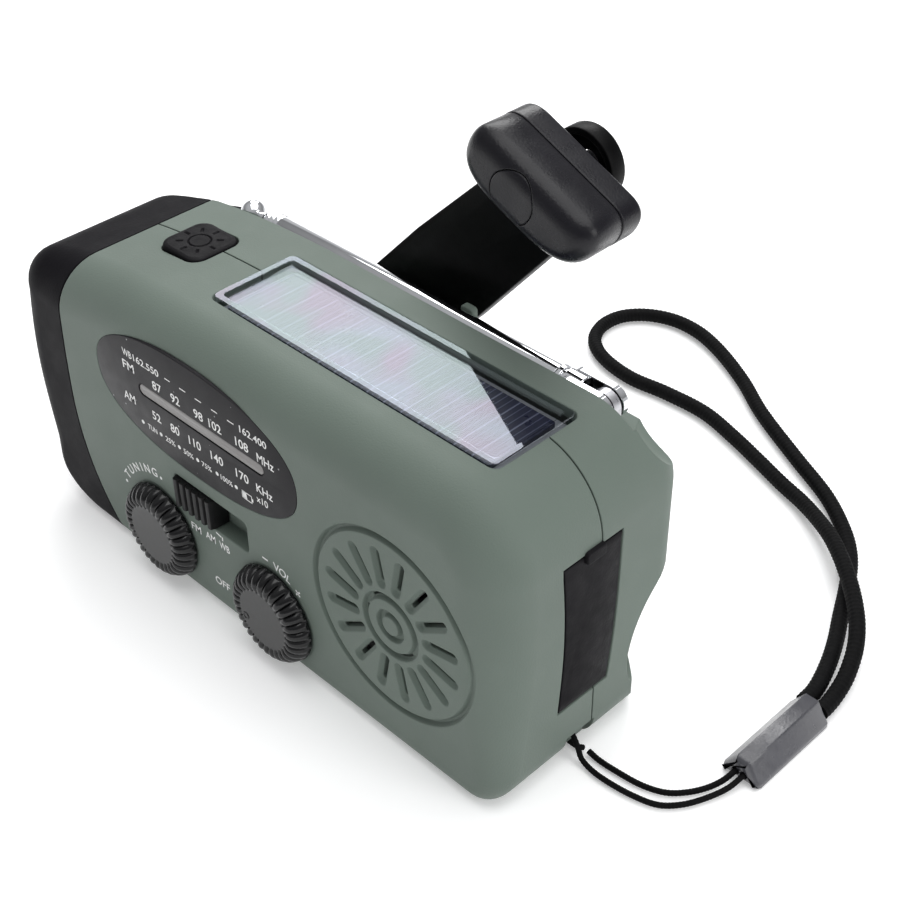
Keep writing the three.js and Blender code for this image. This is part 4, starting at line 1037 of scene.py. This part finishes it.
def make_light_button(look):
    """A rubber button with a gentle dome, and a sun of one ring and eight rays pressed into it."""
    cx, cy, size, corner = LIGHT
    rings = []
    outline = np.array(resampled(light_outline(0.0), 176)) - (cx, cy)
    rings = [[(cx + u * k, cy + w * k, z) for u, w in outline] for z, k in ((57, 1), (59, 1), (59.25, 0.99))]
    count = 60
    for j in range(1, count):
        k = 0.985 * (1 - (j / count) ** 1.05) + 0.001
        ring = []
        for u, w in outline:
            px, py = u * k, w * k
            r = math.hypot(px, py)
            dome = 59.25 + 0.42 * min(1, (1 - k) / 0.13) ** 0.5 + 0.03 * (1 - k * k)
            cut = max(0.0, 1 - abs(r - 2.05) / 0.2)
            spoke = abs(((math.atan2(py, px) + math.pi / 8) % (math.pi / 4)) - math.pi / 8) * r
            if 3.0 < r < 4.4:
                cut = max(cut, min(1.0, max(0.0, 1.5 - spoke / 0.2), (r - 3.0) / 0.2, (4.4 - r) / 0.2))
            ring.append((cx + px, cy + py, dome - 0.3 * min(1, cut)))
        rings.append(ring)
    stem = box_solid(cx - 1.5, cx + 1.5, cy - 1.5, cy + 1.5, 54.2, 57.0)
    piece("light_key", joined(rings_solid(rings), stem), "light", look["rubber"], ["light_button"],
          "black_rubber", 60)


def make_port_cover(look):
    outline = rounded_port(-0.28)
    flap = loft(outline, "x", [(62.5, 0), (63.6, 0), (63.9, -0.1), (64.0, -0.35)])
    tab = loft(rounded_rect(-3.0, 1.4, 43.7, 46.0, 0.5), "x", [(63.5, 0), (64.5, 0), (64.72, -0.12), (64.8, -0.35)])
    cover = make_object("cover", *flap)
    boolean(cover, [tab], "UNION")
    finish(cover, "port_flap", "port", look["rubber"], ["port_cover"], "black_rubber", 30)


def make_solar(look):
    x0, x1, y0, y1 = SOLAR
    g = GAP
    outer = rounded_rect(x0 + g, x1 - g, y0 + g, y1 - g, 1.4, 8)
    cover = make_object("cover", *loft(outer, "z", [(58.2, 0), (60.2, 0), (60.36, -0.06), (60.4, -0.2)]))
    inner = rounded_rect(x0 + 1.7, x1 - 1.7, y0 + 1.7, y1 - 1.7, 0.8, 6)
    boolean(cover, [loft(inner, "z", [(59.6, -0.5), (59.75, -0.3), (60.3, 0), (60.4, 0.12), (62, 0.12)])])
    finish(cover, "solar_window", "housing", look["clear"], ["solar_cover"], "clear_plastic", 8)
    cell = rounded_rect(x0 + 2, x1 - 3.2, y0 + 2, y1 - 2, 0.5, 3)
    piece("solar_panel", loft(cell, "z", [(57.0, 0), (57.85, 0), (57.9, -0.05)]), "housing", look["cell"],
          ["solar_cell"], "solar_cell")
    frame_outline = rounded_rect(x0 + 0.4, x1 - 0.4, y0 + 0.4, y1 - 0.4, 1.4, 6)
    tray = make_object("tray", *loft(frame_outline, "z", [(56.3, 0), (56.9, 0)]))
    finish(tray, "solar_tray", "housing", look["tray"], (), "clear_plastic", 30)


# ---- torch -----------------------------------------------------------------------------------
def make_torch(look):
    opening = rounded_rect(-10.7, 10.7, 13.3, 46.7, 7.7, 12)
    piece("torch_glass", loft(opening, "x", [(-60.2, -0.3), (-60.0, 0), (-58.7, 0)]), "housing",
          look["lens"], ["torch_lens"], "clear_plastic")
    reflector = make_object("reflector", *loft(opening, "x", [(-57.7, 0), (-47.5, 0)]))
    cuts = []
    for z in (18, 30, 42):
        bowl = [(0, -48.6)] + [(3.1 + 2.5 * t, -48.6 - 9.1 * t ** 1.6) for t in np.linspace(0, 1, 14)]
        bowl += [(5.65, -58.5), (0, -58.5)]
        cuts.append(lathe(bowl, "x", (0, z), 48))
        cuts.append(lathe([(0, -50), (3.1, -50), (3.1, -45), (0, -45)], "x", (0, z), 48))
    boolean(reflector, cuts)
    finish(reflector, "torch_mirror", "housing", look["chrome"], ["torch_reflector"], "chrome", 30)
    for i, z in enumerate((18, 30, 42)):
        dome = [(0, -54.5)] + [(2.5 * math.sin(a), -52 - 2.5 * math.cos(a))
                               for a in np.linspace(0, math.pi / 2, 9)[1:]]
        dome += [(2.5, -46.4), (2.5, -45.4), (0, -45.4)]
        piece(f"torch_lamp_{i + 1}", lathe(dome, "x", (0, z), 32), "housing", look["led"],
              [f"torch_led_{i + 1}"], "clear_plastic")


# ---- aerial ----------------------------------------------------------------------------------
def make_aerial(look):
    x, y, z, tip = AERIAL
    radii = (2.5, 2.0, 1.5, 1.0)
    bodies = ("aerial_base", "aerial_mid_1", "aerial_mid_2")
    for k in range(3):
        outer, inner = radii[k], radii[k] - 0.25
        start, end = x - 9.8 - k * 0.6, tip + 7.5 - k * 1.6
        profile = [(inner, end), (outer - 0.12, end), (outer, end + 0.12), (outer, end + 1.1),
                   (outer - 0.06, end + 1.2), (outer - 0.06, end + 1.35), (outer, end + 1.45),
                   (outer, start - 0.1), (outer - 0.1, start), (inner, start), (inner, end)]
        n = 48
        verts = [v for r, t in profile[:-1] for v in place(circle(y, z, r, n), "x", t)]
        m = len(profile) - 1
        faces = [(a * n + i, a * n + (i + 1) % n, ((a + 1) % m) * n + (i + 1) % n, ((a + 1) % m) * n + i)
                 for a in range(m) for i in range(n)]
        piece(f"aerial_tube_{k + 1}", (verts, faces), bodies[k], look["chrome"],
              [f"aerial_section_{k + 1}"], "chrome")
    ball = [(0, tip - 2.5)] + [(2.5 * math.sin(a), tip - 2.5 * math.cos(a))
                               for a in np.linspace(0, math.pi * 0.84, 20)[1:]]
    neck = ball[-1][1]
    ball += [(1.0, neck + 0.25), (1.0, tip + 3.2), (1.25, tip + 3.25), (1.25, tip + 3.7), (1.0, tip + 3.75),
             (1.0, x - 12), (0, x - 12)]
    piece("aerial_end_rod", lathe(ball, "x", (y, z), 48), "aerial_end", look["chrome"], ["aerial_tip"], "chrome")
    knuckle = [(0, x - 9.5), (2.75, x - 9.5), (2.9, x - 9.3), (2.9, x - 8.6), (2.55, x - 8.4), (2.55, x - 8.0),
               (2.9, x - 7.8), (2.9, x - 4.4), (2.7, x - 4.2), (0, x - 4.2)]
    fork = make_object("fork", *lathe(knuckle, "x", (y, z), 48))
    for side in (-1, 1):
        a, b = sorted((y + side * 1.1, y + side * 2.6))
        cheek = stadium_xz(x - 6, x, z, 2.9)
        ends = [(a, -0.12), (a + 0.12, 0), (b - 0.25, 0), (b, -0.25)] if side > 0 else [
            (a, -0.25), (a + 0.25, 0), (b - 0.12, 0), (b, -0.12)]
        boolean(fork, [loft(cheek, "y", ends)], "UNION")
    boolean(fork, [loft(circle(x, z, 1.05, 24), "y", [(y - 5, 0), (y + 5, 0)])])
    finish(fork, "aerial_fork", "aerial_base", look["chrome"], ["aerial_knuckle"], "chrome", 30)
    post = loft(stadium_xz(x - 0.01, x + 0.01, z, 2.68), "y", [(y - 0.8, 0), (y + 0.8, 0)])
    bracket = make_object("bracket", *post)
    boolean(bracket, [
        box_solid(x - 2.7, x + 2.7, y - 0.8, y + 0.8, 42, z),
        lathe([(0, y - 2.9), (0.7, y - 2.9), (0.9, y - 2.75), (0.9, y + 2.75), (0.7, y + 2.9), (0, y + 2.9)],
              "y", (x, z), 24),
    ], "UNION")
    finish(bracket, "aerial_mount", "housing", look["steel"], ["aerial_bracket"], "steel", 30)
    for k, rx in enumerate((38.9, 42.1)):
        head = [(0, 53.1)] + [(0.75 * math.sin(a), 52.3 + 0.62 * math.cos(a))
                              for a in np.linspace(0, math.pi / 2, 7)[1:]] + [(0.75, 51.9), (0, 51.9)]
        piece(f"groove_rivet_{k + 1}", lathe(head[::-1], "z", (rx, 15.2), 20), "housing", look["chrome"], (),
              "chrome")


def stadium_xz(x0, x1, z, r, n=16):
    return (
        [(x1 + r * math.cos(a), z + r * math.sin(a)) for a in np.linspace(-math.pi / 2, math.pi / 2, n)]
        + [(x0 - r * math.cos(a), z - r * math.sin(a)) for a in np.linspace(-math.pi / 2, math.pi / 2, n)]
    )


# ---- crank -----------------------------------------------------------------------------------
def crank_space():
    return Matrix.Translation((HUB[0], 0, HUB[1])) @ Matrix.Rotation(-CRANK_ANGLE, 4, "Y")


def grip_space():
    tip = (HUB[0] + CRANK_RADIUS * math.cos(CRANK_ANGLE), 0, HUB[1] + CRANK_RADIUS * math.sin(CRANK_ANGLE))
    return Matrix.Translation(tip) @ Matrix.Rotation(GRIP_TILT, 4, "Y")


def grip_outline(grow):
    return (
        quadratic((-6.8, 6.4 + grow), (-12 - grow, 6.4 + grow), (-12 - grow, 1.8), 14)
        + quadratic((-12 - grow, 1.8), (-12 - grow, -4.4 - grow), (-3, -4.4 - grow), 18)
        + straight((-3, -4.4 - grow), (3, -4.4 - grow), 4)
        + quadratic((3, -4.4 - grow), (14.4 + grow, -4.4 - grow), (14.4 + grow, 3), 20)
        + quadratic((14.4 + grow, 3), (14.4 + grow, 6.4 + grow), (10.8, 6.4 + grow), 10)
        + straight((10.8, 6.4 + grow), (-6.8, 6.4 + grow), 10)
    )


def eased(radius, at, inwards=1, n=7):
    """Steps that round an edge: from the face at `at`, going along the axis by the radius."""
    return [(at + inwards * radius * (1 - math.cos(a)), -radius * (1 - math.sin(a)))
            for a in np.linspace(0, math.pi / 2, n)]


def make_crank(look):
    space = crank_space()
    disc = lathe([(0, 22.3), (10.6, 22.3), (10.9, 22.5), (11, 22.8), (11, 23.3), (10.8, 23.7), (10.4, 23.8),
                  (9.2, 23.8), (9.0, 23.6), (8.7, 23.6), (8.5, 23.8), (0, 23.8)], "y", (0, 0), 96)
    hub = make_object("hub", *moved(disc, space))
    parts = [lathe([(0, 13.2), (2.8, 13.2), (3, 13.4), (3, 23), (0, 23)], "y", (0, 0), 40)]
    for side in (-1, 1):
        low, high = sorted((side * 5.3, side * 8.5))
        ear = [(-3.4, 23), (3.4, 23)] + [(3.4 - 1.6 + 1.6 * math.cos(a), 26.0 + 1.6 * math.sin(a))
                                        for a in np.linspace(0, math.pi / 2, 8)]
        ear += [(-3.4 + 1.6 - 1.6 * math.sin(a), 26.0 + 1.6 * math.cos(a)) for a in np.linspace(0, math.pi / 2, 8)]
        parts.append(rings_solid([place(ear, "z", w) for w in (low, high)]))
    boolean(hub, [moved(p, space) for p in parts], "UNION")
    pin_hole = rings_solid([place(circle(0, FOLD_Y, 1.15, 24), "z", w) for w in (-15, 15)])
    boolean(hub, [moved(pin_hole, space)])
    finish(hub, "crank_boss", "hub", look["satin"], ["crank_hub"], "satin_black", 30)
    pin = lathe([(0, -8.6), (0.8, -8.6), (1, -8.4), (1, 8.4), (0.8, 8.6), (0, 8.6)], "z", (0, FOLD_Y), 32)
    piece("crank_pin", moved(pin, space), "hub", look["steel"], ["fold_pin"], "steel")

    half, tip = 9.5, 6.3
    outline = (
        straight((4, -half), (30, -half), 6) + straight((30, -half), (64, -7.9), 6)
        + straight((64, -7.9), (CRANK_RADIUS, -tip), 4)
        + [(CRANK_RADIUS + tip * math.cos(a), tip * math.sin(a))
           for a in np.linspace(-math.pi / 2, math.pi / 2, 28)]
        + straight((CRANK_RADIUS, tip), (64, 7.9), 4)[1:] + straight((64, 7.9), (30, half), 6)
        + straight((30, half), (4, half), 6)
        + [(4, half)]
    )
    front, back = 24.1, 27.3
    plate = loft(outline, "y", [(front, -0.35), (front + 0.1, -0.1), (front + 0.35, 0), (back - 0.35, 0),
                                (back - 0.1, -0.1), (back, -0.35)])
    arm = make_object("arm", *moved(plate, space))
    knuckle = rings_solid([place(
        [(1.6 * math.cos(a), FOLD_Y + 1.6 * math.sin(a)) for a in np.linspace(math.pi / 2, math.pi * 1.5, 14)]
        + [(5, front), (5, back)], "z", w) for w in (-5, 5)])
    cup = lathe([(0, front - 1), (5.3, front - 1), (5.2, front), (5.0, front + 0.3), (4.9, front + 1.9),
                 (0, front + 1.9)], "y", (CRANK_RADIUS, 0), 64)
    boolean(arm, [moved(knuckle, space)], "UNION")
    boolean(arm, [moved(pin_hole, space), moved(cup, space), moved(loft(circle(CRANK_RADIUS, 0, 2.1, 32), "y",
                                                     [(front - 1, 0), (back + 1, 0)]), space)])
    finish(arm, "crank_lever", "arm", look["arm"], ["crank_arm"], "satin_black", 30)

    space = grip_space()
    outline = grip_outline(0)
    rows = []
    for y, inset in [(y, -grow) for y, grow in eased(3.4, 8.3, 1, 14)] + [(16.5, 0.05), (16.65, 0.15)]:
        wide, high = 1 - inset / 13.2, 1 - inset / 5.4
        rows.append(place([(1.2 + (u - 1.2) * wide, 1 + (w - 1) * high) for u, w in outline], "y", y))
    grip = make_object("grip", *moved(rings_solid(rows), space))
    cap = copy_of(grip, "cap")
    boolean(cap, [moved(loft(circle(-0.2, 1, 4.2, 64), "y", [(7, 0), (9.4, 0)]), space)], "INTERSECT")
    finish(cap, "grip_plug", "grip", look["satin"], ["grip_cap"], "satin_black", 40)
    boolean(grip, [moved(loft(circle(-0.2, 1, 4.38, 64), "y", [(7, 0), (9.5, 0)]), space),
                   moved(loft(circle(0, 0, 2.1, 32), "y", [(12.3, 0), (18, 0)]), space)])
    finish(grip, "grip_body", "grip", look["satin"], ["grip_shell"], "satin_black", 40)
    collar = loft(grip_outline(0), "y", [(16.75, -0.15), (16.9, 0)] + eased(0.9, 21.4, -1, 7)[::-1])
    band = make_object("band", *moved(collar, space))
    boolean(band, [moved(loft(circle(0, 0, 2.1, 32), "y", [(16, 0), (22, 0)]), space)])
    finish(band, "grip_collar", "grip", look["satin"], ["grip_band"], "satin_black", 30)
    axle = lathe([(0, 12.7), (1.8, 12.7), (1.8, 21.7), (3.3, 21.7), (3.4, 21.8), (3.4, 23.7), (3.3, 23.8),
                  (1.8, 23.8), (1.8, 26.7), (1.6, 26.9), (0, 26.9)], "y", (0, 0), 40)
    piece("grip_shaft", moved(axle, space), "arm", look["steel"], ["grip_axle"], "steel")


def make_screws(look):
    for i, (x, z) in enumerate(SCREWS):
        shank = lathe([(0, -8), (1.2, -7.6), (1.4, -7), (1.4, BACK - 1.6), (2.35, BACK - 1.6), (2.6, BACK - 1.3),
                       (2.5, BACK - 0.8), (2.1, BACK - 0.55), (0, BACK - 0.5)], "y", (x, z), 40)
        screw = make_object("screw", *shank)
        for turn in (0, 90):
            spot = Matrix.Translation((x, 0, z)) @ Matrix.Rotation(math.radians(turn + 12 * i), 4, "Y")
            slot = box_solid(-1.45, 1.45, BACK - 1.4, BACK + 1, -0.26, 0.26)
            boolean(screw, [moved(slot, spot)])
        finish(screw, f"case_screw_{i + 1}", "housing", look["steel"], [f"housing_screw_{i + 1}"], "steel", 30)


def dress_inside(look):
    """Materials for the CAD pieces that show as they are."""
    for name, surface in {
        "torch_board": "board", "main_board": "board", "light_board": "board", "speaker_basket": "steel",
        "speaker_cone": "ferrite", "speaker_magnet": "ferrite", "tuning_capacitor": "nylon",
        "volume_pot": "steel", "band_switch": "steel", "ferrite_rod": "ferrite", "light_switch": "satin",
        "battery": "wrap", "usb_socket": "steel", "charge_socket": "steel", "gearbox_plate": "steel",
        "generator": "steel", "step_up_gear": "nylon", "drive_gear": "nylon", "generator_pinion": "brass",
        "tuning_shaft": "brass", "volume_shaft": "brass", "dial_pointer": "window",
    }.items():
        nodes[name].data.materials.clear()
        nodes[name].data.materials.append(look[surface])


# ---- studio ----------------------------------------------------------------------------------
def make_studio():
    mesh = bpy.data.meshes.new("floor")
    mesh.from_pydata([(-3, -3, -0.0002), (3, -3, -0.0002), (3, 3, -0.0002), (-3, 3, -0.0002)], [], [(0, 1, 2, 3)])
    floor = bpy.data.objects.new("floor", mesh)
    bpy.context.scene.collection.objects.link(floor)
    look = Look("floor", (0.90, 0.90, 0.90), 0.8, specular=0.1)
    look.vary(2, 0.01, 0.02)
    look.shader.inputs["Emission Color"].default_value = (1, 1, 1, 1)
    look.shader.inputs["Emission Strength"].default_value = 0.27
    mesh.materials.append(look.material)

    world = bpy.data.worlds.new("studio")
    world.use_nodes = True
    tree = world.node_tree
    split = tree.nodes.new("ShaderNodeSeparateXYZ")
    tree.links.new(tree.nodes.new("ShaderNodeTexCoord").outputs["Generated"], split.inputs[0])
    height = tree.nodes.new("ShaderNodeMapRange")
    for key, value in ((1, 0.05), (2, 0.75), (3, 0.11), (4, 0.48)):
        height.inputs[key].default_value = value
    tree.links.new(split.outputs["Z"], height.inputs[0])
    tree.nodes["Background"].inputs["Color"].default_value = (0.97, 0.98, 1.0, 1)
    horizon = tree.nodes.new("ShaderNodeMapRange")
    for key, value in ((1, 0.16), (2, 0.3), (3, 0.6), (4, 0.1)):
        horizon.inputs[key].default_value = value
    tree.links.new(split.outputs["Z"], horizon.inputs[0])
    brighter = tree.nodes.new("ShaderNodeMath")
    brighter.operation = "MAXIMUM"
    tree.links.new(height.outputs[0], brighter.inputs[0])
    tree.links.new(horizon.outputs[0], brighter.inputs[1])
    tree.links.new(brighter.outputs[0], tree.nodes["Background"].inputs["Strength"])
    bpy.context.scene.world = world

    def area(name, place_at, target, size, power, colour=(1, 1, 1)):
        data = bpy.data.lights.new(name, "AREA")
        data.shape, data.size, data.size_y = "RECTANGLE", size[0], size[1]
        data.energy, data.color = power, colour
        lamp = bpy.data.objects.new(name, data)
        lamp.location = place_at
        lamp.rotation_mode = "QUATERNION"
        lamp.rotation_quaternion = (Vector(target) - Vector(place_at)).to_track_quat("-Z", "Y")
        bpy.context.scene.collection.objects.link(lamp)

    area("key", (-0.50, 0.52, 0.62), (0.0, 0.0, 0.05), (0.55, 0.55), 4.6)
    area("top", (0.10, 0.10, 0.95), (0.02, 0.0, 0.0), (0.9, 0.9), 6.3)
    area("side", (0.9, 0.15, 0.45), (0.03, 0.0, 0.03), (0.5, 0.6), 2.7)
    area("front", (-0.3, -1.0, 0.55), (0.0, 0.0, 0.03), (0.8, 0.6), 0.1)

    scene = bpy.context.scene
    scene.view_settings.view_transform = "Standard"
    scene.view_settings.look = "None"
    scene.view_settings.exposure = 0.0


# ---- everything ------------------------------------------------------------------------------
make_camera()
LOOK = make_looks()
LOOK["clear"] = clear_plastic("solar_clear", (0.93, 0.94, 0.95), 0.03, 0.004, (0.44, 0.48, 0.54), 2.4,
                             ((0.45, 0.41, 0.48), (0.39, 0.46, 0.46)))
LOOK["lens"] = clear_plastic("lens_clear", (0.95, 0.96, 0.97), 0.04)
LOOK["led"] = clear_plastic("led_clear", (0.9, 0.93, 0.95), 0.05, 0.35)
LOOK["tray"] = Look("solar_tray", (0.30, 0.31, 0.33), 0.4).vary(80, 0.1, 0.05).grain(1500, 0.00002).material
LOOK["cell"] = solar_look()
make_strap(LOOK)
make_housing(LOOK)
make_dial(LOOK)
make_controls(LOOK)
make_light_button(LOOK)
make_port_cover(LOOK)
make_solar(LOOK)
make_torch(LOOK)
make_aerial(LOOK)
make_crank(LOOK)
make_screws(LOOK)
dress_inside(LOOK)
make_studio()
